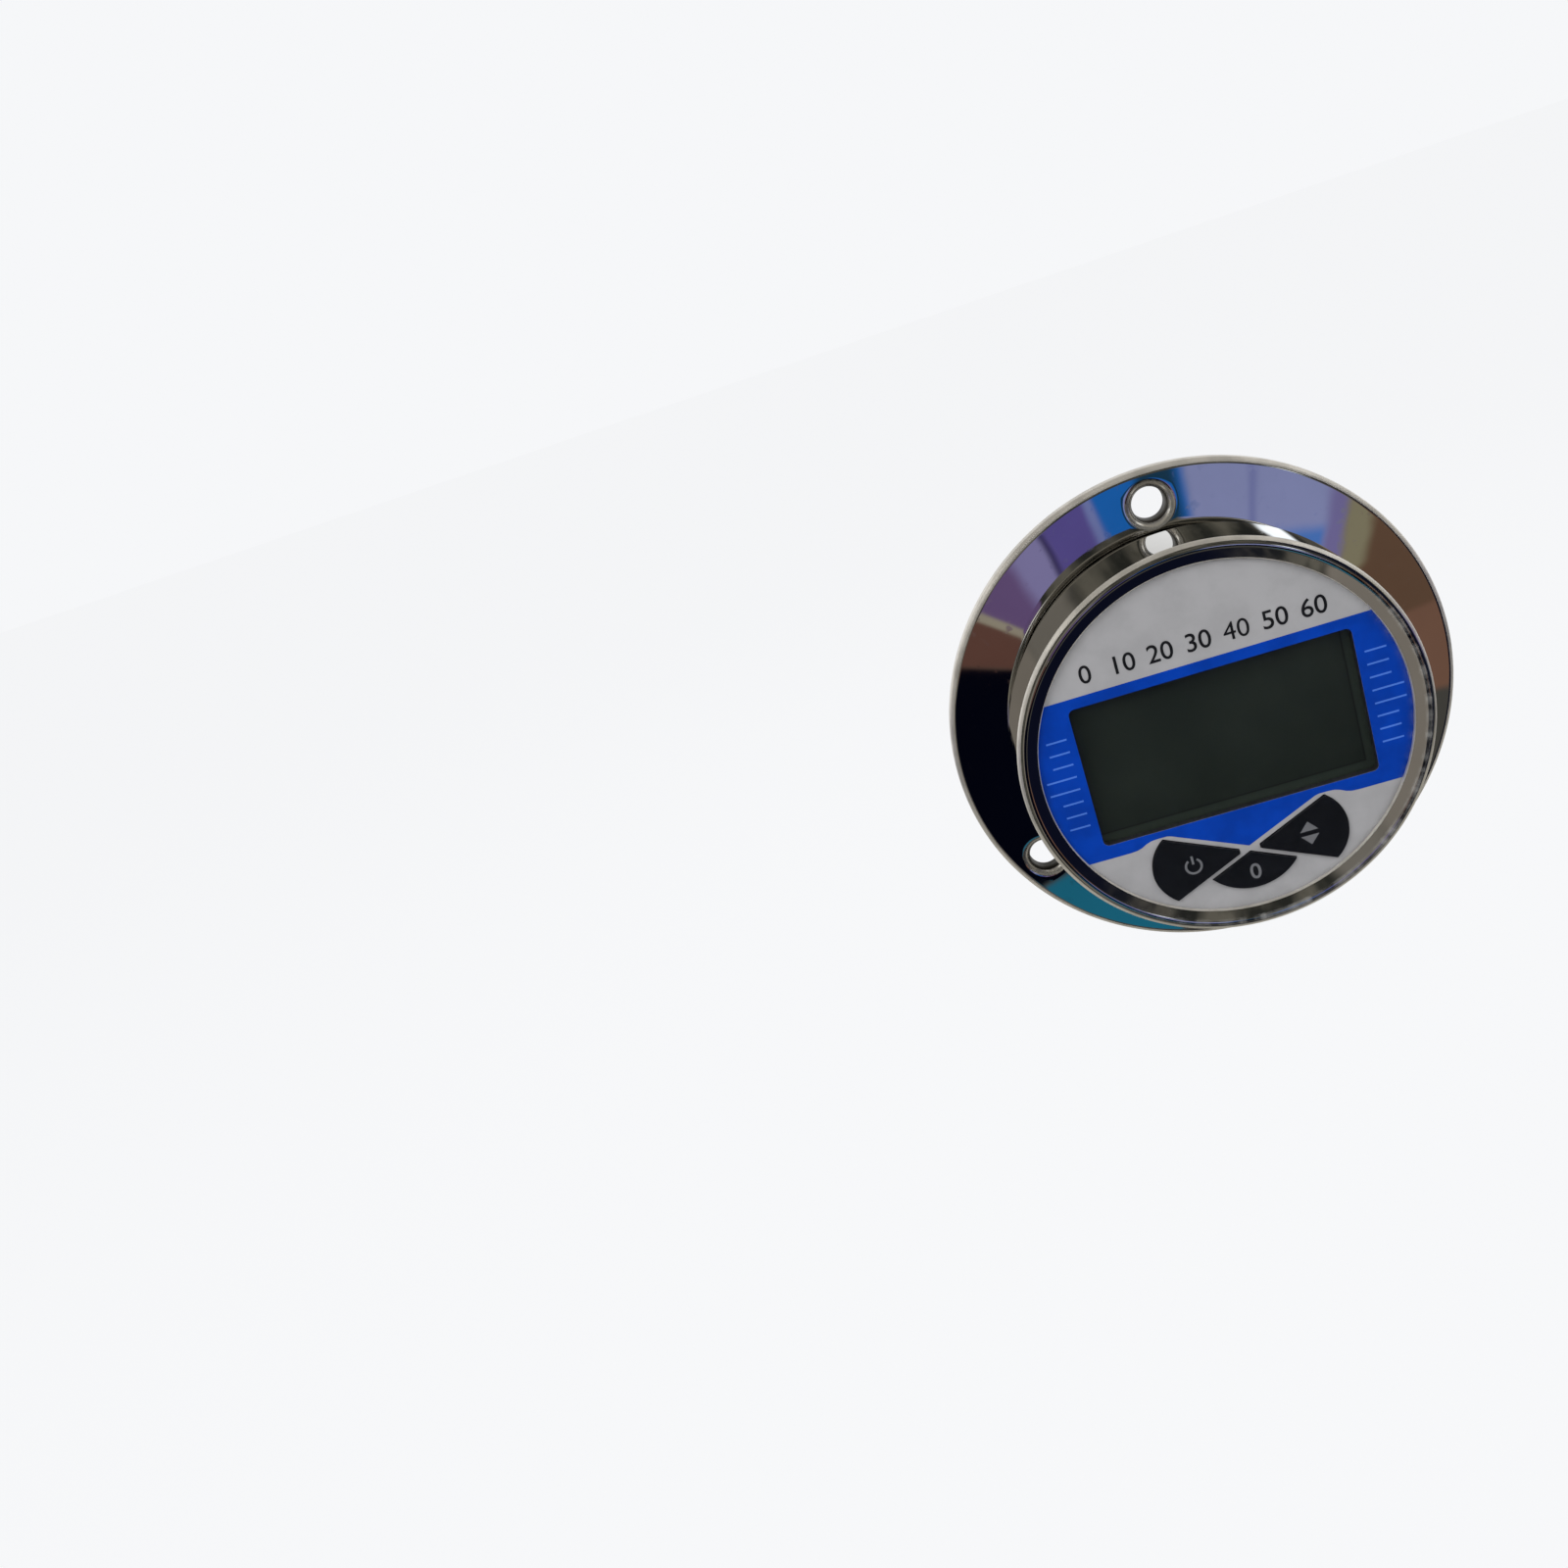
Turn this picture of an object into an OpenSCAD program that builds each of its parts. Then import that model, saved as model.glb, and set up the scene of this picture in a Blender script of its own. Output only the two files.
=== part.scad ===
// Front-flange digital pressure gauge, 60 mm dial, axial back connection.
// The dial faces -Y with its top at +Z. The panel face of the flange is the plane y = 0.
// Modules draw along a local axis that points out of the dial, and facing() turns them into place.

/* [Flange] */
// Outer diameter of the front flange
flange_d = 86; // [82:0.5:100]
// Thickness of the flange
flange_t = 4.4; // [3:0.1:6]
// How far the front face falls back from the case to the flange edge
flange_fall = 0.8; // [0:0.1:1.2]
// Rounding of the flange edge
flange_edge_r = 1.1; // [0.4:0.1:1.4]
// Distance of the bolt holes' centres from the edge of the flange
bolt_inset = 5.9; // [5:0.1:6.4]
// Diameter of each bolt hole
bolt_hole_d = 5.5; // [4.5:0.1:6]
// Diameter of the dished seat round each bolt hole
bolt_dish_d = 8.6; // [7.6:0.1:9.4]

/* [Bezel] */
// Outer diameter of the bezel ring
bezel_d = 66.8; // [65.5:0.1:68]
// Length of the bezel ring along the axis
bezel_len = 13.4; // [12:0.1:16]
// Wall of the bezel ring
bezel_wall = 1; // [0.8:0.1:1.2]
// Rounding of the front outer edge of the bezel
bezel_edge_r = 1.5; // [1:0.1:1.8]
// Rounding of the rear outer edge of the bezel
bezel_rear_r = 0.4; // [0.2:0.1:0.45]
// Clear opening of the bezel over the dial
dial_d = 59.8; // [58:0.1:61]
// Depth of the dial face below the front of the bezel
dial_drop = 1.6; // [1.2:0.1:2.4]
// Radius of the rolled inner hem of the bezel lip
hem_r = 0.4; // [0.3:0.05:0.5]

/* [Case] */
// Length of case wall that shows between bezel and flange
shoulder_len = 4.2; // [3:0.1:6]
// Sheet thickness of the drawn case
case_wall = 1; // [0.8:0.1:1.2]
// Outer diameter of the rear part of the case
case_rear_d = 54.4; // [53:0.1:56]
// Length of the rear part behind the panel face
case_rear_len = 17; // [16.5:0.1:24]
// Corner radius at the rear of the case
case_rear_r = 5.5; // [3:0.1:7]
// Corner radius of the step against the flange
case_step_r = 0.9; // [0.6:0.1:1.4]
// Width of the turned-in rim that carries the gasket
case_rim_w = 2.8; // [2.2:0.1:3.2]

/* [Face] */
// Thickness of the face plate
face_t = 1.6; // [1.3:0.1:2]
// Thickness of the gasket behind the face plate
gasket_t = 1.2; // [0.8:0.1:1.6]
// Width of the display window
window_w = 45.6; // [43:0.1:47]
// Height of the display window
window_h = 24.8; // [23:0.1:25.4]
// Corner radius of the display window
window_r = 1; // [0.6:0.1:2]
// Depth of the pane below the face
window_drop = 0.3; // [0.1:0.05:0.5]

/* [Keys] */
// Drop of the point where the keys meet below the lower edge of the display window
key_drop = 7.4; // [7:0.1:8]
// Half angle of each side key, in degrees
key_half_angle = 25; // [22:0.5:27]
// Distance of a side key's arc centre from the meeting point
side_arc_x = 9; // [8.6:0.1:9.4]
// Radius of a side key's outer arc
side_arc_r = 7.2; // [6.8:0.1:7.4]
// Rise of the bottom key's arc centre above the meeting point
bottom_arc_y = 2.1; // [1.8:0.1:2.6]
// Radius of the bottom key's arc
bottom_arc_r = 9.1; // [8.8:0.1:9.3]
// Width of the web of face plate between two keys
key_web = 0.7; // [0.5:0.05:1]
// Height of a key above the face
key_proud = 0.5; // [0.4:0.05:0.8]
// Travel of a key
key_travel = 0.35; // [0.2:0.05:0.4]
// Width of the hidden flange that keeps a key in
key_flange_w = 0.3; // [0.2:0.05:0.35]
// Thickness of that flange
key_flange_t = 0.8; // [0.5:0.1:1]

/* [Display] */
// Depth of the display frame from face plate to board
display_depth = 5.8; // [5.4:0.1:7]
// Thickness of one sheet of display glass
glass_t = 1.1; // [0.7:0.1:1.3]
// Height of the contact ledge above the window
ledge_h = 3.6; // [3.2:0.1:4]
// Wall of the display frame
display_wall = 0.8; // [0.6:0.1:1]
// Thickness of the backlight panel
backlight_t = 1.8; // [1:0.1:2]

/* [Board] */
// Diameter of the main board
board_d = 57.2; // [55:0.1:57.4]
// Thickness of both circuit boards
board_t = 1.6; // [1:0.1:1.6]
// Radius at which the board screws sit
screw_ring_r = 24.6; // [24:0.1:25]
// Diameter of the board screws
screw_d = 2.5; // [2:0.1:2.6]
// Side of a key switch
switch_w = 6; // [5:0.1:6]
// Height of a key switch body
switch_h = 3.5; // [3:0.1:3.6]
// Diameter of a switch plunger
plunger_d = 3.4; // [2.6:0.1:3.5]
// Height of a plunger above its body
plunger_h = 0.7; // [0.6:0.05:0.9]

/* [Battery] */
// Diameter of the cell
cell_d = 14.5; // [13:0.1:14.6]
// Length of the cell without its nub
cell_len = 25; // [22:0.1:26]
// Height of the cell's axis above the dial centre
cell_y = 9; // [8.6:0.1:10]

/* [Fitting] */
// Outer diameter of the sensor neck
neck_d = 19.5; // [18.6:0.1:21]
// Length of the sensor neck behind the case
neck_len = 9.5; // [9:0.1:12]
// Width of the hexagon across its flats
hex_af = 19; // [18:0.1:22]
// Length of the hexagon
hex_len = 11; // [8:0.1:14]
// Diameter of the connection thread
thread_d = 9.7; // [9:0.05:10.5]
// Length of the threaded stub
thread_len = 12; // [9:0.1:14]
// Diameter of the pressure port
port_d = 3; // [2:0.1:4]
// Diameter of the sensor cell
sensor_d = 15; // [14:0.1:15.2]
// Height of the sensor cell
sensor_h = 5.5; // [4.5:0.1:6]

/* [Cap] */
// Wall of the thread cap
cap_wall = 0.65; // [0.5:0.05:1]
// Thickness of the end of the thread cap
cap_end_t = 1.2; // [0.8:0.1:2]
// Rounding of the end of the thread cap
cap_edge_r = 0.9; // [0.4:0.1:1]

/* [Hidden] */
$fn = 96;

// Overrun of a cut past the surface that it opens
over = 0.5;
// Radial gap of a piece dropped into a pocket
pocket_gap = 0.1;
// Radial gap between the bezel ring and the case
bezel_gap = 0.15;
// Radial gap between the flange bore and the case
flange_gap = 0.05;
// Radius taken off the case where the flange sits on it
seat_relief = 0.3;
// Radial gap of a close sliding fit
slide_gap = 0.08;
// Gap round a key in its opening
key_gap = 0.12;

// Levels along the axis, measured from the panel face towards the viewer
z_bezel = flange_t + shoulder_len;
z_rim = z_bezel + bezel_len;
z_face = z_rim - dial_drop;
z_plate = z_face - face_t;
z_case_rim = z_plate - gasket_t;
z_board = z_plate - display_depth;
z_board_rear = z_board - board_t;
z_step = flange_t + case_wall;
z_case_rear = -case_rear_len;
z_neck_end = z_case_rear - neck_len;
z_hex_end = z_neck_end - hex_len;
z_stub_end = z_hex_end - thread_len;

bezel_r = bezel_d / 2;
case_front_r = bezel_r - bezel_wall - bezel_gap;
case_rear_or = case_rear_d / 2;
case_opening_r = case_front_r - case_rim_w;
dial_r = dial_d / 2;
bolt_circle_d = flange_d - bolt_inset * 2;

// Gap of the face plate inside the bezel ring
face_gap = 0.4;
face_r = bezel_r - bezel_wall - face_gap;

// The three keys: middle direction, half angle, arc centre and arc radius
key_centre = [0, -window_h / 2 - key_drop];
KEY_POWER = [180, key_half_angle, [-side_arc_x, 0], side_arc_r];
KEY_UNIT = [0, key_half_angle, [side_arc_x, 0], side_arc_r];
KEY_ZERO = [270, 90 - key_half_angle, [0, bottom_arc_y], bottom_arc_r];
// Height of the bottom switch below the point where the keys meet
zero_switch_drop = 3.6;
SWITCH_POWER = key_centre + [-side_arc_x, 0];
SWITCH_UNIT = key_centre + [side_arc_x, 0];
SWITCH_ZERO = key_centre + [0, -zero_switch_drop];
SWITCHES = [SWITCH_POWER, SWITCH_ZERO, SWITCH_UNIT];
// Gap between a plunger and the switch body round it
plunger_gap = 0.1;
// Depth of the plunger inside its switch
plunger_depth = 1.2;
z_plunger_top = z_board + switch_h + plunger_h;
// Rest clearance between a key's flange and the back of the face plate
key_rest_gap = 0.05;
key_stem_d = plunger_d;
// Rounding relief cut across the lead edges of a switch body
switch_lead_w = 0.7;
switch_lead_t = 0.25;
switch_lead_reach = 1;

// Display
glass_margin = 0.4;
glass_w = window_w + glass_margin * 2;
glass_bottom = -window_h / 2 - glass_margin / 2;
glass_top = window_h / 2 + ledge_h;
ledge_y = window_h / 2 + glass_margin;
z_glass = z_plate - pocket_gap * 2;
z_backlight = z_glass - glass_t * 2;
frame_gap = 0.2;
frame_clear_r = case_opening_r - pocket_gap * 3;
frame_bottom = glass_bottom - frame_gap - display_wall;
// Thickness of the elastomer strip between glass and board
connector_t = 2;
connector_side_gap = 1;
// Rib that carries the backlight panel
rib_w = 1.6;

// Board, screws and the parts on the back of the board
screw_head_d = screw_d * 1.8;
// Gap between the head of a lower screw and the display frame above it
screw_frame_gap = 0.6;
lower_screw_angle = asin((screw_frame_gap + screw_head_d / 2 - frame_bottom) / screw_ring_r);
SCREW_ANGLES = [90, 180 + lower_screw_angle, 360 - lower_screw_angle];
screw_head_h = screw_d * 0.6;
screw_len = 6;
screw_slot_share = 0.25;
insert_wall = 0.7;
insert_len = 4;
post_wall = 1.1;
chip_main = 9;
chip_small = 4.4;
chip_t = 1.3;
chip_x = 11.5;
chip_y = -9;
capacitor_d = 4;
capacitor_h = 5.2;
capacitor_x = 18;
capacitor_y = 3;

// Carrier
carrier_t = 1.4;
carrier_rim_h = 2;
carrier_gap = 0.25;
carrier_rim_r = case_opening_r - carrier_gap;
carrier_cup_r = case_rear_or - case_wall - carrier_gap;
z_cell = z_board_rear - cell_d / 2 - carrier_gap * 3;
z_carrier = z_cell - cell_d / 2 - carrier_t - carrier_gap;
saddle_w = 3;
saddle_x = 7;
cell_nub_d = 5;
cell_nub_h = 1;
contact_t = 0.4;
contact_w = 8;
cell_gap = 0.05;

// Ribbon between the sensor board and the main board
ribbon_y = -6;
ribbon_w = 7;
ribbon_t = 0.9;
socket_w = 9;
socket_d = 3.2;
socket_h = 4;
plug_h = 2.4;
slot_gap = 1;

// Sensor stack in the neck
sensor_gap = 0.1;
sensor_bore_r = sensor_d / 2 + sensor_gap;
neck_spigot_r = sensor_bore_r + 1.2;
neck_spigot_rise = 0.4;
neck_edge = 0.3;
fitting_spigot_h = 1.6;
z_sensor = z_neck_end + fitting_spigot_h;
z_sensor_top = z_sensor + sensor_h;
sensor_boss_r = 5.4;
sensor_boss_h = 1.5;
clamp_h = 2.4;
clamp_notch_w = 2;
clamp_notch_h = 1;
oring_r = 0.6;
oring_ring_r = 5.9;
oring_groove_gap = 0.05;
diaphragm_r = 4.6;
diaphragm_h = 0.6;
PIN_COUNT = 5;
pin_d = 0.6;
pin_ring_r = 3.2;
pin_rise = 0.5;
sensor_board_r = 9.5;
z_sensor_board = z_case_rear + case_wall + neck_spigot_rise + 2;
pin_hole_gap = 0.05;

// Hexagon and thread
hex_corner_r = hex_af / 2 / cos(30);
hex_chamfer = (hex_corner_r - hex_af / 2) * tan(30);
thread_chamfer = 0.8;
relief_len = 1.2;
relief_depth = 0.7;

// Cap
cap_bore_r = thread_d / 2 + slide_gap;
cap_r = cap_bore_r + cap_wall;
cap_face_gap = 0.2;
cap_end_gap = 0.3;

// Turns a piece drawn along z so that its axis points out of the dial, at level z
module facing(z = 0) {
    rotate([90, 0, 0])
        translate([0, 0, z])
            children();
}

// Revolves a profile drawn in radius and height
module turned(z = 0) {
    facing(z)
        rotate_extrude()
            children();
}

// A ring with plain edges
module ring(outer, inner, h) {
    difference() {
        cylinder(r = outer, h = h);
        translate([0, 0, -over])
            cylinder(r = inner, h = h + over * 2);
    }
}

// A box centred on x and y that stands on z = 0
module slab(w, d, h) {
    translate([-w / 2, -d / 2, 0])
        cube([w, d, h]);
}

// A box with rounded upright edges, centred on x and y
module round_slab(w, d, h, r) {
    slab(w - r * 2, d, h);
    slab(w, d - r * 2, h);
    for (x = [-1, 1], y = [-1, 1])
        translate([x * (w / 2 - r), y * (d / 2 - r), 0])
            cylinder(r = r, h = h);
}

// Half section of a cup whose outer corner at its lower end is rounded
module cup_section(r, z0, z1, corner) {
    translate([0, z0 + corner])
        square([r, z1 - z0 - corner]);
    translate([0, z0])
        square([r - corner, corner * 2]);
    translate([r - corner, z0 + corner])
        circle(r = corner);
}

// One key's sector, widened by grow on every side
module key_sector(key, grow, h) {
    shift = (key_web / 2 + key_gap - grow) / sin(key[1]);
    reach = (key[3] + side_arc_x) * 2;
    apex = shift * [cos(key[0]), sin(key[0])];
    translate(key_centre)
        intersection() {
            translate(key[2])
                cylinder(r = key[3] + grow, h = h);
            linear_extrude(h)
                polygon([
                    apex,
                    apex + reach * [cos(key[0] - key[1]), sin(key[0] - key[1])],
                    apex + reach * [cos(key[0]), sin(key[0])],
                    apex + reach * [cos(key[0] + key[1]), sin(key[0] + key[1])]
                ]);
        }
}

// One key: cap, hidden flange and stem down to its switch
module key_piece(key, at) {
    flange_z = z_plate - key_rest_gap - key_flange_t;
    color("#17181a")
        facing() {
            translate([0, 0, flange_z])
                key_sector(key, key_flange_w, key_flange_t);
            translate([0, 0, flange_z])
                key_sector(key, 0, z_face + key_proud - flange_z);
            translate([at.x, at.y, z_plunger_top])
                cylinder(d = key_stem_d, h = flange_z - z_plunger_top + key_flange_t / 2);
        }
}

// The plunger of one key switch
module plunger_piece(at) {
    color("#3a3d42")
        facing(z_plunger_top - plunger_h - plunger_depth)
            translate(at)
                cylinder(d = plunger_d, h = plunger_h + plunger_depth);
}

module bezel_ring() {
    color("#c9cdd2")
        turned()
            difference() {
                union() {
                    translate([bezel_r - bezel_wall, z_bezel + bezel_rear_r])
                        square([bezel_wall, bezel_len - bezel_edge_r - bezel_rear_r]);
                    translate([bezel_r - bezel_wall, z_bezel])
                        square([bezel_wall - bezel_rear_r, bezel_rear_r * 2]);
                    translate([bezel_r - bezel_rear_r, z_bezel + bezel_rear_r])
                        circle(r = bezel_rear_r);
                    translate([bezel_r - bezel_edge_r, z_rim - bezel_edge_r])
                        circle(r = bezel_edge_r);
                    translate([dial_r + hem_r, z_face + hem_r])
                        circle(r = hem_r);
                    polygon([
                        [dial_r + hem_r, z_face],
                        [bezel_r - bezel_wall / 2, z_face],
                        [bezel_r - bezel_edge_r, z_rim],
                        [dial_r + hem_r, z_face + hem_r * 2]
                    ]);
                }
                square([bezel_r - bezel_wall, z_face]);
            }
}

module face_gasket() {
    color("#222222")
        facing(z_case_rim)
            ring(face_r, case_opening_r, gasket_t);
}

module face_plate() {
    color("#b9bdc1")
        facing(z_plate)
            difference() {
                cylinder(r = face_r, h = face_t);
                translate([0, 0, -over])
                    round_slab(window_w, window_h, face_t + over * 2, window_r);
                for (key = [KEY_POWER, KEY_ZERO, KEY_UNIT])
                    translate([0, 0, -over])
                        key_sector(key, key_gap, face_t + over * 2);
            }
}

module display_window() {
    color("#20241f")
        facing(z_plate)
            round_slab(
                window_w - pocket_gap * 2,
                window_h - pocket_gap * 2,
                face_t - window_drop,
                window_r - pocket_gap
            );
}

module key_power() {
    key_piece(KEY_POWER, SWITCH_POWER);
}

module key_zero() {
    key_piece(KEY_ZERO, SWITCH_ZERO);
}

module key_unit() {
    key_piece(KEY_UNIT, SWITCH_UNIT);
}

module plunger_power() {
    plunger_piece(SWITCH_POWER);
}

module plunger_zero() {
    plunger_piece(SWITCH_ZERO);
}

module plunger_unit() {
    plunger_piece(SWITCH_UNIT);
}

// Three key switches on the front of the main board, each with its plunger bore and leads
module switch_bodies() {
    color("#8d9094")
        facing(z_board)
            for (at = SWITCHES)
                translate(at) {
                    difference() {
                        slab(switch_w, switch_w, switch_h);
                        translate([0, 0, switch_h - plunger_depth - key_travel - plunger_gap])
                            cylinder(d = plunger_d + plunger_gap * 2, h = switch_h);
                    }
                    for (y = [-1, 1])
                        translate([0, y * switch_w / 4, 0])
                            slab(switch_w + switch_lead_reach * 2, switch_lead_w, switch_lead_t);
                }
}

// Two sheets of glass, the front one with the contact ledge at its top
module display_glass() {
    color("#3b4238")
        facing(z_glass) {
            translate([0, (glass_top + glass_bottom) / 2, -glass_t])
                slab(glass_w, glass_top - glass_bottom, glass_t);
            translate([0, (ledge_y + glass_bottom) / 2, -glass_t * 2])
                slab(glass_w, ledge_y - glass_bottom, glass_t);
        }
}

module display_frame() {
    mid_y = (glass_top + glass_bottom) / 2;
    inner_w = glass_w + frame_gap * 2;
    inner_h = glass_top - glass_bottom + frame_gap * 2;
    color("#d9d6cc")
        facing(z_board)
            difference() {
                intersection() {
                    translate([0, mid_y, 0])
                        slab(inner_w + display_wall * 2, inner_h + display_wall * 2, display_depth);
                    cylinder(r = frame_clear_r, h = display_depth);
                }
                translate([0, mid_y, z_backlight - backlight_t - z_board])
                    slab(inner_w, inner_h, display_depth);
                translate([0, mid_y, -over])
                    slab(inner_w - rib_w * 2, inner_h, display_depth);
            }
}

module backlight_panel() {
    color("#e8efe4")
        facing(z_backlight - backlight_t)
            translate([0, (ledge_y + glass_bottom) / 2, 0])
                slab(glass_w, ledge_y - glass_bottom, backlight_t);
}

// Elastomer strip that joins the contact ledge to the board
module display_connector() {
    color("#c7a9a0")
        facing(z_board)
            translate([0, (glass_top + ledge_y) / 2, 0])
                slab(
                    glass_w - rib_w * 2 - connector_side_gap * 2,
                    connector_t,
                    z_glass - glass_t - z_board
                );
}

module main_board() {
    color("#1f6b3a")
        facing(z_board_rear)
            difference() {
                cylinder(d = board_d, h = board_t);
                for (a = SCREW_ANGLES)
                    rotate([0, 0, a])
                        translate([screw_ring_r, 0, -over])
                            cylinder(d = screw_d + slide_gap * 2, h = board_t + over * 2);
            }
}

// Chips on the back of the main board and one on the sensor board's upper side
module board_chips() {
    color("#26282b")
        facing() {
            translate([chip_x, chip_y, z_board_rear - chip_t])
                slab(chip_main, chip_main, chip_t);
            translate([-chip_x, chip_y, z_board_rear - chip_t])
                slab(chip_small, chip_small, chip_t);
            translate([0, chip_small / 2 + pin_ring_r, z_sensor_board + board_t])
                slab(chip_small, chip_small / 2, chip_t);
        }
}

module board_capacitors() {
    color("#5b6670")
        facing(z_board_rear - capacitor_h)
            for (x = [-1, 1])
                translate([x * capacitor_x, -capacitor_y, 0])
                    cylinder(d = capacitor_d, h = capacitor_h);
}

// Pan-head screws with a driver slot
module board_screws() {
    color("#b9bdc2")
        facing(z_board)
            for (a = SCREW_ANGLES)
                rotate([0, 0, a])
                    translate([screw_ring_r, 0, 0])
                        difference() {
                            union() {
                                translate([0, 0, -screw_len])
                                    cylinder(d = screw_d, h = screw_len + screw_head_h / 2);
                                cylinder(d = screw_head_d, h = screw_head_h);
                            }
                            translate([0, 0, screw_head_h / 2])
                                slab(screw_head_d * 2, screw_head_d * screw_slot_share, screw_head_h);
                        }
}

module screw_inserts() {
    color("#c9a14a")
        facing(z_board_rear - insert_len)
            for (a = SCREW_ANGLES)
                rotate([0, 0, a])
                    translate([screw_ring_r, 0, 0])
                        ring(screw_d / 2 + insert_wall, screw_d / 2 + slide_gap, insert_len);
}

// Moulded cup in the rear of the case, with the rim on the case step, the posts and the cell's saddles
module carrier() {
    post_r = screw_d / 2 + insert_wall + post_wall;
    rim_top = z_step + carrier_rim_h;
    color("#4a4d52")
        difference() {
            union() {
                facing(z_step)
                    ring(carrier_rim_r, carrier_cup_r - carrier_t, carrier_rim_h);
                facing(z_carrier)
                    ring(carrier_cup_r, carrier_cup_r - carrier_t, rim_top - z_carrier);
                facing(z_carrier)
                    cylinder(r = carrier_cup_r - carrier_t / 2, h = carrier_t);
                facing(z_step)
                    for (a = SCREW_ANGLES)
                        rotate([0, 0, a])
                            translate([screw_ring_r, 0, 0])
                                cylinder(r = post_r, h = z_board_rear - z_step);
                facing(z_carrier + carrier_t / 2)
                    for (x = [-1, 1])
                        translate([x * saddle_x, cell_y, 0])
                            slab(saddle_w, cell_d, z_cell - z_carrier - carrier_t / 2 - cell_d / 4);
            }
            facing(z_cell)
                translate([0, cell_y, 0])
                    rotate([0, 90, 0])
                        cylinder(r = cell_d / 2 + cell_gap, h = cell_len, center = true);
            facing(z_board_rear - insert_len)
                for (a = SCREW_ANGLES)
                    rotate([0, 0, a])
                        translate([screw_ring_r, 0, 0])
                            cylinder(r = screw_d / 2 + insert_wall + slide_gap / 4, h = insert_len + over);
            facing(z_board - screw_len - over)
                for (a = SCREW_ANGLES)
                    rotate([0, 0, a])
                        translate([screw_ring_r, 0, 0])
                            cylinder(d = screw_d + slide_gap * 4, h = screw_len);
            facing(z_carrier - over)
                translate([0, ribbon_y, 0])
                    slab(ribbon_w + slot_gap * 2, ribbon_t + slot_gap * 2, carrier_t + over * 2);
        }
}

module battery_cell() {
    color("#6f8f5f")
        facing(z_cell)
            translate([-cell_len / 2, cell_y, 0])
                rotate([0, 90, 0]) {
                    cylinder(d = cell_d, h = cell_len);
                    cylinder(d = cell_nub_d, h = cell_len + cell_nub_h);
                }
}

// Leaf contacts at both ends of the cell, standing on the carrier's floor
module battery_contacts() {
    floor_z = z_carrier + carrier_t;
    color("#d2b36a")
        facing(floor_z) {
            translate([-cell_len / 2 - contact_t / 2, cell_y, 0])
                slab(contact_t, contact_w, z_cell - floor_z + cell_nub_d / 2);
            translate([cell_len / 2 + cell_nub_h + contact_t / 2, cell_y, 0])
                slab(contact_t, contact_w, z_cell - floor_z + cell_nub_d / 2);
        }
}

// The sockets on both boards that take the ribbon's ends
module ribbon_socket() {
    color("#e9e5da")
        facing() {
            translate([0, ribbon_y, z_board_rear - socket_h])
                slab(socket_w, socket_d, socket_h);
            translate([0, ribbon_y, z_sensor_board + board_t])
                slab(socket_w, socket_d, plug_h);
        }
}

module sensor_ribbon() {
    low_z = z_sensor_board + board_t + plug_h;
    color("#9aa0a8")
        facing(low_z)
            translate([0, ribbon_y, 0])
                slab(ribbon_w, ribbon_t, z_board_rear - socket_h - low_z);
}

// Drawn case: wide front part, step against the flange, narrow rear part with round corner
module case_shell() {
    color("#c4c8cc")
        turned()
            difference() {
                union() {
                    cup_section(case_front_r, flange_t, z_case_rim, case_step_r);
                    cup_section(case_rear_or, z_case_rear, 0, case_rear_r);
                    square([case_rear_or - seat_relief, z_step]);
                }
                cup_section(case_front_r - case_wall, z_step, z_case_rim - case_wall, case_step_r / 2);
                cup_section(
                    case_rear_or - case_wall,
                    z_case_rear + case_wall,
                    z_step + case_step_r,
                    case_rear_r - case_wall
                );
                translate([0, z_case_rim - case_wall - over])
                    square([case_opening_r, case_wall + over * 2]);
                translate([0, z_case_rear - over])
                    square([neck_spigot_r + flange_gap, case_wall + over * 2]);
            }
}

module mounting_flange() {
    flange_r = flange_d / 2;
    bore_r = case_rear_or + flange_gap;
    flat_r = flange_r - flange_edge_r;
    edge_z = flange_t - flange_fall;
    dish_depth = (bolt_dish_d - bolt_hole_d) / 2;
    dish_way_share = (bolt_circle_d / 2 - case_front_r) / (flat_r - case_front_r);
    dish_z = flange_t - flange_fall * dish_way_share;
    color("#cfd3d7")
        difference() {
            turned() {
                polygon([
                    [bore_r, 0],
                    [flat_r, 0],
                    [flat_r, edge_z],
                    [case_front_r, flange_t],
                    [bore_r, flange_t]
                ]);
                translate([bore_r, flange_edge_r])
                    square([flange_r - bore_r, edge_z - flange_edge_r * 2]);
                for (z = [flange_edge_r, edge_z - flange_edge_r])
                    translate([flat_r, z])
                        circle(r = flange_edge_r);
            }
            for (a = [90, 210, 330])
                facing()
                    rotate([0, 0, a])
                        translate([bolt_circle_d / 2, 0, 0]) {
                            translate([0, 0, -over])
                                cylinder(d = bolt_hole_d, h = flange_t + over * 2);
                            translate([0, 0, dish_z - dish_depth])
                                cylinder(
                                    d1 = bolt_hole_d,
                                    d2 = bolt_dish_d + flange_fall * 2,
                                    h = dish_depth + flange_fall
                                );
                        }
        }
}

// Polished neck, welded in the rear of the case, that holds the sensor cell
module sensor_neck() {
    color("#c8ccd0")
        turned()
            polygon([
                [sensor_bore_r, z_neck_end],
                [neck_d / 2 - neck_edge, z_neck_end],
                [neck_d / 2, z_neck_end + neck_edge],
                [neck_d / 2, z_case_rear],
                [neck_spigot_r, z_case_rear],
                [neck_spigot_r, z_case_rear + case_wall + neck_spigot_rise],
                [sensor_bore_r, z_case_rear + case_wall + neck_spigot_rise]
            ]);
}

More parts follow.
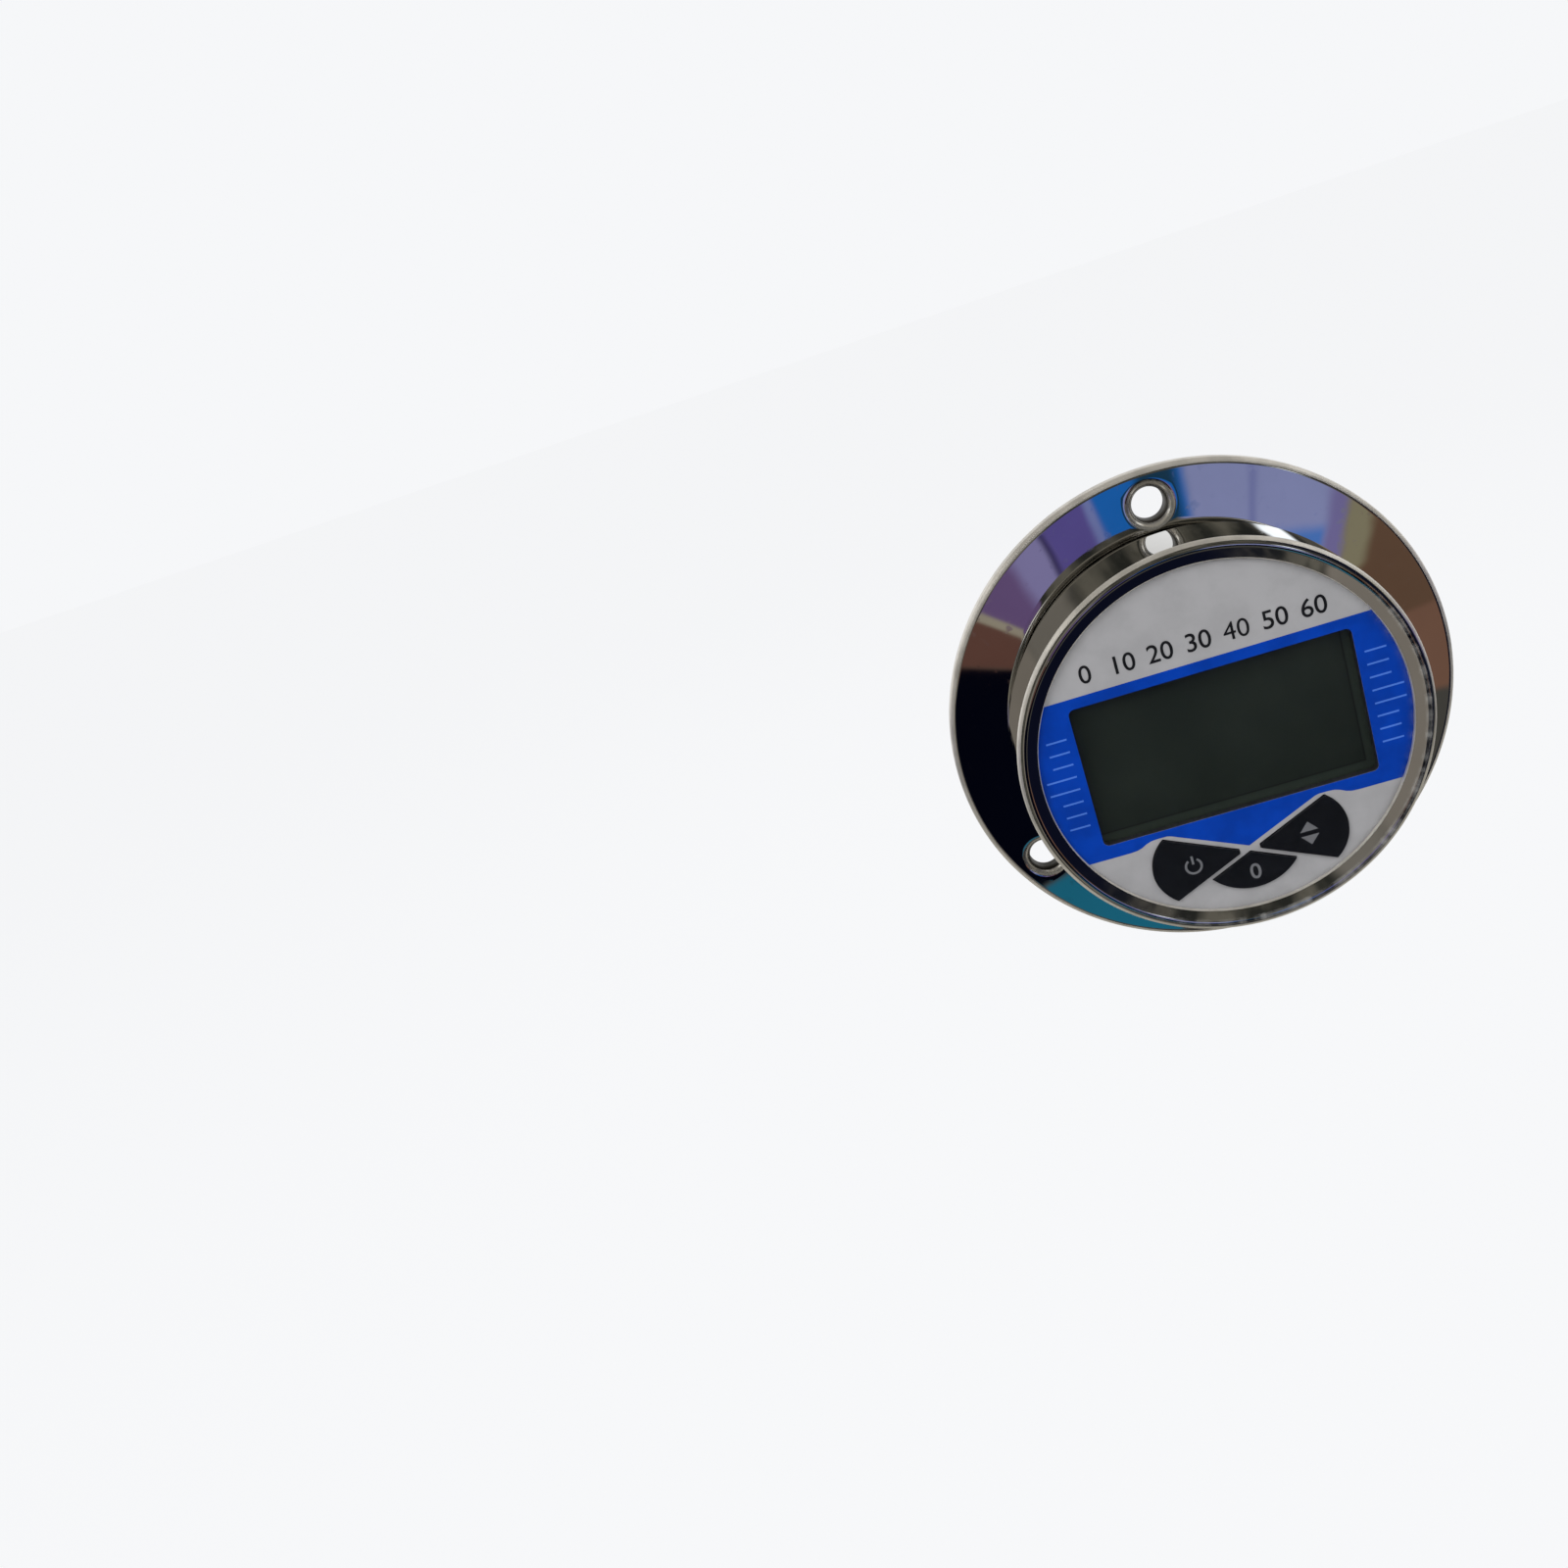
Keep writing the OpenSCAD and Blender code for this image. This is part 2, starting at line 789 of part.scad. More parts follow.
// Hexagon with the threaded stub, the pressure port and the seat of the sensor seal
module hex_fitting() {
    stub_r = thread_d / 2;
    color("#9a9a93")
        difference() {
            union() {
                intersection() {
                    facing(z_hex_end)
                        rotate([0, 0, 30])
                            cylinder(r = hex_corner_r, h = hex_len, $fn = 6);
                    turned(z_hex_end)
                        polygon([
                            [0, 0],
                            [hex_af / 2, 0],
                            [hex_corner_r, hex_chamfer],
                            [hex_corner_r, hex_len - hex_chamfer],
                            [hex_af / 2, hex_len],
                            [0, hex_len]
                        ]);
                }
                turned()
                    polygon([
                        [0, z_stub_end],
                        [stub_r - thread_chamfer, z_stub_end],
                        [stub_r, z_stub_end + thread_chamfer],
                        [stub_r, z_hex_end - relief_len],
                        [stub_r - relief_depth, z_hex_end - relief_len + relief_depth / 2],
                        [stub_r - relief_depth, z_hex_end + over],
                        [0, z_hex_end + over]
                    ]);
                facing(z_neck_end - over)
                    cylinder(r = sensor_bore_r - sensor_gap / 2, h = fitting_spigot_h + over);
            }
            facing(z_stub_end - over)
                cylinder(d = port_d, h = z_sensor - z_stub_end + over * 2);
            facing(z_sensor - diaphragm_h)
                cylinder(d1 = port_d, d2 = diaphragm_r * 2, h = diaphragm_h);
            facing(z_sensor - oring_r * 2 - oring_groove_gap)
                ring(
                    oring_ring_r + oring_r + oring_groove_gap,
                    oring_ring_r - oring_r - oring_groove_gap,
                    oring_r * 2 + over
                );
        }
}

module sensor_oring() {
    color("#1c1c1c")
        turned(z_sensor - oring_r - oring_groove_gap / 2)
            translate([oring_ring_r, 0])
                circle(r = oring_r);
}

// Oil-filled cell with its raised top
module sensor_cell() {
    color("#aeb4ba")
        facing(z_sensor) {
            cylinder(r = sensor_d / 2, h = sensor_h);
            cylinder(r = sensor_boss_r, h = sensor_h + sensor_boss_h);
        }
}

// Threaded ring, with two notches for a pin spanner, that clamps the cell on its seal
module sensor_clamp_ring() {
    color("#b5a36a")
        facing(z_sensor_top)
            difference() {
                ring(sensor_bore_r - sensor_gap / 2, sensor_boss_r + sensor_gap, clamp_h);
                translate([0, 0, clamp_h - clamp_notch_h])
                    slab(sensor_d + over * 2, clamp_notch_w, clamp_notch_h + over);
            }
}

module sensor_pins() {
    low_z = z_sensor_top + sensor_boss_h;
    color("#d8b04a")
        facing(low_z)
            for (i = [0 : PIN_COUNT - 1])
                rotate([0, 0, 90 + i * 360 / PIN_COUNT])
                    translate([pin_ring_r, 0, 0])
                        cylinder(d = pin_d, h = z_sensor_board + board_t + pin_rise - low_z);
}

module sensor_board() {
    color("#1f6b3a")
        facing(z_sensor_board)
            difference() {
                cylinder(r = sensor_board_r, h = board_t);
                for (i = [0 : PIN_COUNT - 1])
                    rotate([0, 0, 90 + i * 360 / PIN_COUNT])
                        translate([pin_ring_r, 0, -over])
                            cylinder(d = pin_d + pin_hole_gap * 2, h = board_t + over * 2);
            }
}

// Soft cap pushed over the threaded stub for transport
module thread_cap() {
    cap_len = thread_len - cap_face_gap + cap_end_gap + cap_end_t;
    z_end = z_hex_end - cap_face_gap - cap_len;
    color("#e6ece8")
        turned()
            difference() {
                cup_section(cap_r, z_end, z_end + cap_len, cap_edge_r);
                translate([0, z_end + cap_end_t])
                    square([cap_bore_r, cap_len]);
            }
}

bezel_ring();
face_gasket();
face_plate();
display_window();
key_power();
key_zero();
key_unit();
plunger_power();
plunger_zero();
plunger_unit();
switch_bodies();
display_glass();
display_frame();
backlight_panel();
display_connector();
main_board();
board_chips();
board_capacitors();
board_screws();
screw_inserts();
carrier();
battery_cell();
battery_contacts();
ribbon_socket();
sensor_ribbon();
case_shell();
mounting_flange();
sensor_neck();
hex_fitting();
sensor_oring();
sensor_cell();
sensor_clamp_ring();
sensor_pins();
sensor_board();
thread_cap();
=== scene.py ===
import math

import bmesh
import bpy
from bpy.props import FloatProperty, FloatVectorProperty, PointerProperty
from mathutils import Matrix, Vector


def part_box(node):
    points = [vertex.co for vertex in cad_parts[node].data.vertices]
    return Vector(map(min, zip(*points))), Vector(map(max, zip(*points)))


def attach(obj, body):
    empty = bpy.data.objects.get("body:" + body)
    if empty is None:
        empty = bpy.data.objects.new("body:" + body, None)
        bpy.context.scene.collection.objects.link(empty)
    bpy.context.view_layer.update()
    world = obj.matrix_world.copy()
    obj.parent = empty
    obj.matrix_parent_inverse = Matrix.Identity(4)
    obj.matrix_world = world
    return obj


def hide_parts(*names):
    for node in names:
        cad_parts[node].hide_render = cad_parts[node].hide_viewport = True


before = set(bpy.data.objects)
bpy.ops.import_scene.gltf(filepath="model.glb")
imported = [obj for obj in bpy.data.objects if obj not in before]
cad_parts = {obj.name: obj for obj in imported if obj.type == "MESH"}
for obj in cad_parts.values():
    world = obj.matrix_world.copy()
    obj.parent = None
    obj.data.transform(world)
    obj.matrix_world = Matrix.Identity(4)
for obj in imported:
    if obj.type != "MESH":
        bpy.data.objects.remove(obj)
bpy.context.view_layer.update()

bl_info = {
    "name": "Front flange gauge",
    "version": (1, 0, 0),
    "blender": (4, 5, 0),
    "location": "View3D > Sidebar > Gauge",
    "description": "Builds the looks of a digital pressure gauge round its CAD frame",
    "category": "Object",
}

MM = 0.001
HOUSING = "housing"
KEY_BODIES = {"key_power": "power_key", "key_zero": "zero_key", "key_unit": "unit_key"}
BOLT_ANGLES = (90, 210, 330)
AROUND = 360  # columns round the flange
HALF_PATCH = 10  # columns to either side of a bolt hole that its patch takes
TICKS = 8
LONG_TICKS = (3, 4)
NUMBERS = 7
# how far a face's normal leans to the gauge's axis, 1 being square to it
ROLLED_SHEEN = (0.05, 0.78)  # the satin part of the bezel's rolled edge, whose lighter tone paints its highlight
SHEEN_RIM_LEAN = 0.93  # more than this is the flange's flat face or back
FLAT = 0.97  # more than this is a flat face beside a dish


# Settings that a user may change


def length(name, description, value):
    """A size given in millimetres and kept in metres."""
    return FloatProperty(
        name=name, description=description, default=value * MM, unit="LENGTH", precision=5
    )


def angle(name, description, value):
    """An angle given in degrees and kept in radians."""
    return FloatProperty(
        name=name, description=description, default=math.radians(value), subtype="ANGLE"
    )


def share(name, description, value, top=1.0):
    """A plain number from 0 to top."""
    return FloatProperty(
        name=name, description=description, default=value, min=0, max=top, subtype="FACTOR"
    )


def colour(name, description, value):
    """A linear colour."""
    return FloatVectorProperty(
        name=name, description=description, default=value, size=3, min=0, max=1, subtype="COLOR"
    )


class GAUGE_PG_bezel(bpy.types.PropertyGroup):
    """Sizes of the bezel ring."""

    wall: length("Wall", "Sheet thickness of the ring", 1.0)
    edge_round: length("Edge rounding", "Rounding of the front outer edge", 1.3)
    rear_round: length("Rear rounding", "Rounding of the rear outer edge", 0.4)
    crown_width: length("Crown width", "Flat top of the lip inside the edge rounding", 0.2)
    hem: length("Hem", "Radius of the rolled hem at the dial", 0.36)
    hem_rise: length("Hem rise", "Height of the hem above the dial", 0.78)
    dial_radius: length("Dial radius", "Clear radius of the dial", 29.9)
    dial_drop: length("Dial drop", "Depth of the dial below the front of the ring", 1.6)


class GAUGE_PG_case(bpy.types.PropertyGroup):
    """Sizes of the drawn case."""

    wall: length("Wall", "Sheet thickness of the case", 1.0)
    rear_radius: length("Rear radius", "Outer radius of the narrow rear part", 27.2)
    rear_round: length("Rear rounding", "Corner radius at the rear", 5.5)
    step_round: length("Step rounding", "Corner radius of the step on the flange", 0.9)
    rim_width: length("Rim width", "Width of the turned-in rim", 2.8)
    seat_relief: length("Seat relief", "Radius taken off inside the flange", 0.3)
    neck_hole: length("Neck hole", "Radius of the hole for the sensor neck", 8.85)


class GAUGE_PG_flange(bpy.types.PropertyGroup):
    """Sizes of the mounting flange."""

    edge_round: length("Edge rounding", "Rounding of both outer edges", 1.1)
    bore_radius: length("Bore radius", "Radius of the bore round the case", 27.25)
    fall: length("Fall", "How far the face falls back from the case to the edge", 0.8)
    bolt_radius: length("Bolt radius", "Radius of the bolt circle", 37.1)
    hole_radius: length("Hole radius", "Radius of a bolt hole", 2.75)
    dish_radius: length("Dish radius", "Radius of the dished seat of a bolt hole", 4.3)
    dish_depth: length("Dish depth", "Depth at which the dish meets the hole", 2.4)
    rear_edge: length("Rear edge", "Broken edge of a hole at the rear face", 0.4)
    # the dark edge of a hole is rough punched steel, darkened further as painted shade inside the
    # hole
    punched_shade_edge: length("Punched edge", "Width of the dark edge of a hole", 0.3)
    face_start: length("Face start", "Flat ring of the face beside the case", 0.2)


class GAUGE_PG_face(bpy.types.PropertyGroup):
    """Sizes of the printed face, the window, the key openings and the keys' marks."""

    film: length("Film", "Thickness of the printed film on the face plate", 0.06)
    ink: length("Ink", "Thickness of a printed layer", 0.02)
    film_radius: length("Film radius", "Outer radius of the printed film", 30.05)
    window_width: length("Window width", "Width of the display window", 45.6)
    window_height: length("Window height", "Height of the display window", 24.8)
    window_round: length("Window corner", "Corner radius of the display window", 1.0)
    pane_edge: length("Pane edge", "Broken edge of the pane", 0.12)
    polariser_right: length("Polariser edge", "Right edge of the display's dark film", 21.4)
    polariser_foot: length("Polariser foot", "Bottom edge of the display's dark film", 10.9)
    band_top: length("Band top", "Upper edge of the blue band above the dial centre", 14.25)
    band_foot: length("Band foot", "Lower edge of the blue band at the dial's edge", 14.8)
    band_waist: length("Band waist", "Lower edge of the blue band over the side keys", 13.62)
    tick_width: length("Tick width", "Width of a scale line", 0.3)
    tick_start: length("Tick start", "Inner end of a scale line", 24.1)
    tick_short: length("Short tick end", "Outer end of a short scale line", 27.5)
    tick_long: length("Long tick end", "Outer end of a long scale line", 29.1)
    tick_pitch: length("Tick pitch", "Distance between two scale lines", 2.243)
    number_height: length("Number height", "Font size of the row of numbers", 4.3)
    number_base: length("Number base", "Foot of the numbers above the dial centre", 16.1)
    number_start: length("Number start", "Middle of the first number", -18.6)
    number_step: length("Number step", "Distance between two numbers", 6.1)
    number_weight: length("Number weight", "What a number's strokes are widened by", 0.03)
    key_meet: length("Key crossing", "Point where the keys meet below the dial centre", 19.8)
    key_web: length("Key web", "Width of the face between two keys", 0.7)
    key_gap: length("Key gap", "Gap round a key", 0.12)
    key_edge: length("Key edge", "Broken edge of a key", 0.16)
    key_half_angle: angle("Key half angle", "Half angle of a side key", 25)
    side_arc_out: length("Side arc place", "Arc centre of a side key from the crossing", 9.0)
    side_arc: length("Side arc", "Radius of a side key's arc", 7.2)
    foot_arc_up: length("Bottom arc place", "Arc centre of the bottom key over the crossing", 2.1)
    foot_arc: length("Bottom arc", "Radius of the bottom key's arc", 9.1)
    mark_line: length("Mark line", "Half width of a line in the power mark", 0.2)
    power_radius: length("Power mark", "Radius of the power mark", 1.3)
    power_gap: angle("Power mark gap", "Half of the gap in the power mark", 32)
    power_out: length("Power mark place", "Power mark from the crossing", 9.6)
    zero_height: length("Zero mark", "Font size of the bottom key's figure", 3.9)
    zero_drop: length("Zero mark place", "Foot of the figure below the crossing", 5.4)
    zero_weight: length("Zero mark weight", "What its stroke is widened by", 0.05)
    arrow_out: length("Arrow place", "Arrows from the crossing", 9.8)
    arrow_half: length("Arrow width", "Half width of an arrow", 1.5)
    arrow_foot: length("Arrow foot", "Foot of an arrow from the key's middle", 0.4)
    arrow_tip: length("Arrow tip", "Tip of an arrow from the key's middle", 2.1)


class GAUGE_PG_film(bpy.types.PropertyGroup):
    """The clear film over the dial."""

    thickness: length("Film thickness", "Thickness of the clear film", 0.03)
    sink: length("Film depth", "How far the film lies below the bezel's front", 0.88)
    flat_radius: length("Flat part", "Radius of the flat part of the film", 28.6)
    rise: length("Rise", "Width over which the film rises to the bezel's front", 3.2)
    outer: length("Film edge", "Outer radius of the film", 32.4)
    proud: length("Film over the bezel", "How far the film stands over the bezel's front", 0.06)
    middle: length("Air hole", "Radius of the hole in the film's middle", 0.3)
    # strength of the pale tint that paints the sheen of the film's pleats
    strength: share("Creases", "How strongly the film shows where it is pleated", 0.20)


class GAUGE_PG_fitting(bpy.types.PropertyGroup):
    """Sizes of the neck, hexagon, thread and cap."""

    neck_bore: length("Neck bore", "Radius of the bore for the sensor cell", 7.6)
    neck_edge: length("Neck edge", "Broken edge of the neck", 0.3)
    neck_gap: length("Neck gap", "Gap between the neck and its hole in the case", 0.05)
    hex_flats: length("Hexagon flats", "Width across the flats", 19.0)
    hex_length: length("Hexagon length", "Length of the hexagon", 11.0)
    hex_corner: length("Hexagon corner", "Rounding taken off the corners", 0.12)
    hex_ridge: length("Hexagon ridge", "Length of the cone at both ends", 0.9)
    thread_radius: length("Thread radius", "Radius over the thread's crests", 4.85)
    thread_pitch: length("Thread pitch", "Pitch of the 28 per inch pipe thread", 0.907)
    thread_depth: length("Thread depth", "Depth of the thread", 0.5)
    thread_chamfer: length("Thread chamfer", "Chamfer at the end of the stub", 0.8)
    relief_width: length("Relief width", "Width of the groove behind the thread", 1.2)
    relief_depth: length("Relief depth", "Depth of that groove", 0.7)
    port_radius: length("Port radius", "Radius of the pressure port", 1.5)
    cap_wall: length("Cap wall", "Wall of the thread cap", 0.65)
    cap_end: length("Cap end", "Thickness of the cap's end", 1.2)
    cap_round: length("Cap rounding", "Rounding of the cap's end", 0.9)


class GAUGE_PG_label(bpy.types.PropertyGroup):
    """Sizes of the bare label and the stickers on the rear of the case."""

    thickness: length("Thickness", "Thickness of a label", 0.06)
    start: length("Start", "Front edge of the label behind the panel face", 0.9)
    end: length("End", "Rear edge of the label behind the panel face", 11.4)
    corner: length("Corner", "Corner radius of the label", 0.8)
    from_angle: angle("From", "Right end of the label", 31)
    to_angle: angle("To", "Left end of the label", 149)
    round_back: length("Sticker place", "Centre of the round sticker behind the panel", 6.2)
    round_radius: length("Round sticker", "Radius of the round sticker", 3.9)
    round_angle: angle("Round sticker angle", "Place of that sticker round the case", 4)
    small_radius: length("Small sticker", "Radius of the small pale sticker", 3.0)
    small_angle: angle("Small sticker angle", "Place of that sticker round the case", -14)
    small_back: length("Small sticker place", "How far it sits behind the round one", 0.6)


class GAUGE_PG_colours(bpy.types.PropertyGroup):
    """Colours and gloss of the gauge."""

    polished: colour("Polished steel", "Polished stainless steel", (0.80, 0.79, 0.77))
    polish: share("Polish roughness", "Roughness of the polished steel", 0.018)
    # satin steel of the flange's rim and the bezel's edges: a real satin finish whose light beige
    # tone paints their highlight
    satin: colour("Satin steel", "Worked edges of flange and bezel", (0.88, 0.84, 0.77))
    turned: colour("Turned steel", "Machined steel of the hexagon", (0.56, 0.545, 0.50))
    film: colour("Face film", "Silver grey print of the face", (0.40, 0.40, 0.415))
    band: colour("Blue band", "Blue ink of the band", (0.0, 0.047, 0.42))
    tick: colour("Scale lines", "Light blue ink of the scale lines", (0.07, 0.20, 0.72))
    number: colour("Numbers", "Black ink of the numbers", (0.008, 0.008, 0.010))
    key: colour("Keys", "Black plastic of the keys", (0.006, 0.007, 0.010))
    legend: colour("Key marks", "Grey ink of the key marks", (0.16, 0.165, 0.18))
    display: colour("Display", "Dark display behind the pane", (0.0150, 0.0205, 0.0160))
    cap: colour("Thread cap", "Frosted plastic of the thread cap", (0.86, 0.88, 0.87))
    label: colour("Label", "Bare silver foil label", (0.66, 0.66, 0.68))
    round_sticker: colour("Round sticker", "Green paper sticker", (0.02, 0.16, 0.045))
    small_sticker: colour("Small sticker", "Pale paper sticker", (0.62, 0.70, 0.76))


class GAUGE_PG_stage(bpy.types.PropertyGroup):
    """Camera, floor and light."""

    camera_place: FloatVectorProperty(
        name="Camera place",
        description="Where the camera stands",
        default=(-0.03646, -0.24573, 0.09036),
        subtype="TRANSLATION",
    )
    camera_turn: FloatVectorProperty(
        name="Camera turn",
        description="How the camera is turned",
        default=(math.radians(70.5329), math.radians(18.3061), math.radians(2.2193)),
        subtype="EULER",
    )
    lens: FloatProperty(name="Lens", description="Focal length", default=33.287, unit="CAMERA")
    floor_drop: length("Floor drop", "Level of the floor below the gauge's axis", 260)
    floor_size: length("Floor size", "Side of the floor", 12000)
    backdrop: colour("Backdrop", "Pale colour of floor and backdrop", (0.922, 0.930, 0.946))
    sky: share("Sky light", "Strength of the even light from all round", 0.62, 4)
    lamp: FloatProperty(name="Lamp", description="Power of the main lamp", default=5.0, unit="POWER")


GROUPS = {
    "gauge_bezel": GAUGE_PG_bezel,
    "gauge_case": GAUGE_PG_case,
    "gauge_flange": GAUGE_PG_flange,
    "gauge_face": GAUGE_PG_face,
    "gauge_film": GAUGE_PG_film,
    "gauge_fitting": GAUGE_PG_fitting,
    "gauge_label": GAUGE_PG_label,
    "gauge_colours": GAUGE_PG_colours,
    "gauge_stage": GAUGE_PG_stage,
}


# Measures of the CAD frame


def reach(node):
    """Largest distance of a CAD node from the gauge's axis."""
    return max(math.hypot(v.co.x, v.co.z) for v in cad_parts[node].data.vertices)


def levels(node):
    """Front and rear level of a CAD node, counted out of the dial from the panel face."""
    low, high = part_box(node)
    return -low.y, -high.y


# Meshes. A level h points out of the dial, u to the right and v up, all in metres.


def at(u, v, h):
    """The scene's place of a point."""
    return Vector((u, -h, v))


def polar(radius, turn, centre=(0, 0)):
    """The point (u, v) at a radius and a turn from a centre."""
    return centre[0] + radius * math.cos(turn), centre[1] + radius * math.sin(turn)


def arc(radius, start, end, count):
    """Points on a circle about the dial's centre, from one turn to another."""
    return [polar(radius, start + (end - start) * k / count) for k in range(count + 1)]


def quarter(count):
    """Turns from 0 to a quarter turn."""
    return [math.pi / 2 * k / count for k in range(count + 1)]


def circle(radius, count, centre=(0, 0)):
    """Points all round a circle."""
    return [polar(radius, math.tau * k / count, centre) for k in range(count)]


def rounded(corners, step=math.radians(9)):
    """The points of a closed outline whose corners are (x, y, rounding)."""
    points = []
    for i, (x, y, radius) in enumerate(corners):
        here = Vector((x, y))
        if radius <= 0:
            points.append(here)
            continue
        back = (Vector(corners[i - 1][:2]) - here).normalized()
        on = (Vector(corners[(i + 1) % len(corners)][:2]) - here).normalized()
        half = back.angle(on) / 2
        centre = here + (back + on).normalized() * (radius / math.sin(half))
        first = here + back * (radius / math.tan(half)) - centre
        last = here + on * (radius / math.tan(half)) - centre
        start = math.atan2(first.y, first.x)
        sweep = (math.atan2(last.y, last.x) - start + math.pi) % math.tau - math.pi
        count = max(2, math.ceil(abs(sweep) / step))
        points += [
            Vector(polar(radius, start + sweep * k / count, centre)) for k in range(count + 1)
        ]
    return points


def box_outline(width, height, corner, count=8):
    """A rectangle with round corners."""
    signs = ((1, 1), (-1, 1), (-1, -1), (1, -1))
    corners = [(x * width / 2, y * height / 2, corner) for x, y in signs]
    return [tuple(p) for p in rounded(corners, math.pi / 2 / count)]


def clipped(loop, point, normal):
    """The part of a convex loop on the side of a line that normal points to."""
    kept = []
    for i, there in enumerate(loop):
        here = loop[i - 1]
        a, b = (
            (p[0] - point[0]) * normal[0] + (p[1] - point[1]) * normal[1] for p in (here, there)
        )
        if (a < 0) != (b < 0):
            t = a / (a - b)
            kept.append((here[0] + (there[0] - here[0]) * t, here[1] + (there[1] - here[1]) * t))
        if b >= 0:
            kept.append(there)
    return kept


def mesh_from(name, form):
    """The mesh of a bmesh, which is used up."""
    mesh = bpy.data.meshes.new(name)
    form.to_mesh(mesh)
    form.free()
    return mesh


def finished(name, form, sharp=28.0):
    """The mesh of a bmesh, smooth but for its sharp edges."""
    bmesh.ops.remove_doubles(form, verts=form.verts, dist=2e-6)
    bmesh.ops.recalc_face_normals(form, faces=form.faces)
    mesh = mesh_from(name, form)
    mesh.shade_smooth()
    mesh.set_sharp_from_angle(angle=math.radians(sharp))
    return mesh


def add_rows(form, rows, segments, closed=False):
    """Joins rows, each a function of the turn that gives radius and level, into a turned skin."""
    grid = []
    for k in range(segments):
        turn = math.tau * k / segments
        column = []
        for row in rows:
            radius, h = row(turn)
            column.append(form.verts.new(at(*polar(radius, turn), h)))
        grid.append(column)
    count = len(rows) if closed else len(rows) - 1
    for k in range(segments):
        here, there = grid[k], grid[(k + 1) % segments]
        for i in range(count):
            j = (i + 1) % len(rows)
            form.faces.new((here[i], here[j], there[j], there[i]))


def still(points):
    """Rows that are the same all round, from points (radius, level)."""
    return [lambda turn, p=p: (p[0], p[1]) for p in points]


def turned_mesh(name, outline, segments=256):
    """A closed outline of (radius, level) turned about the gauge's axis."""
    form = bmesh.new()
    add_rows(form, still(outline), segments, closed=True)
    return finished(name, form)


def mesh_of(line, name, level):
    """The mesh of a flat curve or text, turned to face out of the dial at that level."""
    maker = bpy.data.objects.new(name, line)
    bpy.context.scene.collection.objects.link(maker)
    bpy.context.view_layer.update()
    graph = bpy.context.evaluated_depsgraph_get()
    mesh = bpy.data.meshes.new_from_object(maker.evaluated_get(graph))
    mesh.name = name
    bpy.data.objects.remove(maker)
    bpy.data.curves.remove(line)
    mesh.transform(Matrix.Translation((0, -level, 0)) @ Matrix.Rotation(math.pi / 2, 4, "X"))
    return mesh


def flat_mesh(name, loops, low, high):
    """Closed loops of (u, v), the inner ones being holes, filled from one level to another."""
    line = bpy.data.curves.new(name, "CURVE")
    line.dimensions = "2D"
    line.fill_mode = "BOTH"
    line.extrude = (high - low) / 2
    for loop in loops:
        spline = line.splines.new("POLY")
        spline.points.add(len(loop) - 1)
        for point, (u, v) in zip(spline.points, loop):
            point.co = (u, v, 0, 1)
        spline.use_cyclic_u = True
    return mesh_of(line, name, (low + high) / 2)


def word_mesh(name, text, size, low, high, u, v, weight):
    """Plain figures, centred on u with their foot at v."""
    words = bpy.data.curves.new(name, "FONT")
    words.body = text
    words.size = size
    words.align_x = "CENTER"
    words.extrude = (high - low) / 2
    words.offset = weight
    words.resolution_u = 6
    mesh = mesh_of(words, name, (low + high) / 2)
    mesh.transform(Matrix.Translation((u, 0, v)))
    return mesh


def wrapped_mesh(name, columns, radius, thickness, rows=10):
    """A patch laid round a cylinder. A column is a turn with its front and rear level."""
    form = bmesh.new()
    skins = [
        [
            [
                form.verts.new(at(*polar(r, turn), front + (rear - front) * k / rows))
                for k in range(rows + 1)
            ]
            for turn, front, rear in columns
        ]
        for r in (radius + thickness, radius)
    ]
    outer, inner = skins
    for i in range(len(columns) - 1):
        for k in range(rows):
            for skin in skins:
                form.faces.new((skin[i][k], skin[i][k + 1], skin[i + 1][k + 1], skin[i + 1][k]))
        for k in (0, rows):
            form.faces.new((outer[i][k], inner[i][k], inner[i + 1][k], outer[i + 1][k]))
    for i in (0, len(columns) - 1):
        for k in range(rows):
            form.faces.new((outer[i][k], outer[i][k + 1], inner[i][k + 1], inner[i][k]))
    return finished(name, form)


def place(mesh, finish, instead_of=(), body=HOUSING):
    """Puts a mesh in the scene as a piece of its name that rides on a body."""
    if not mesh.polygons:
        raise RuntimeError(f"{mesh.name} has no faces")
    piece = bpy.data.objects.new(mesh.name, mesh)
    bpy.context.scene.collection.objects.link(piece)
    mesh.materials.clear()
    mesh.materials.append(finish)
    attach(piece, body)
    if instead_of:
        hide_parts(*instead_of)
    return piece


def even_normals(piece):
    """Keeps flat faces flat beside rounded edges."""
    modifier = piece.modifiers.new("even normals", "WEIGHTED_NORMAL")
    modifier.keep_sharp = True
    modifier.weight = 60


def dress(nodes, finish):
    """Gives CAD nodes their material."""
    for name in nodes.split():
        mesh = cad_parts[name].data
        mesh.materials.clear()
        mesh.materials.append(finish)


def soft_edges(name, width):
    """Breaks the sharp edges of a CAD node that shows."""
    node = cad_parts[name]
    bevel = node.modifiers.new("soft edges", "BEVEL")
    bevel.width = width
    bevel.segments = 3
    bevel.limit_method = "ANGLE"
    bevel.angle_limit = math.radians(40)
    even_normals(node)


# Node trees


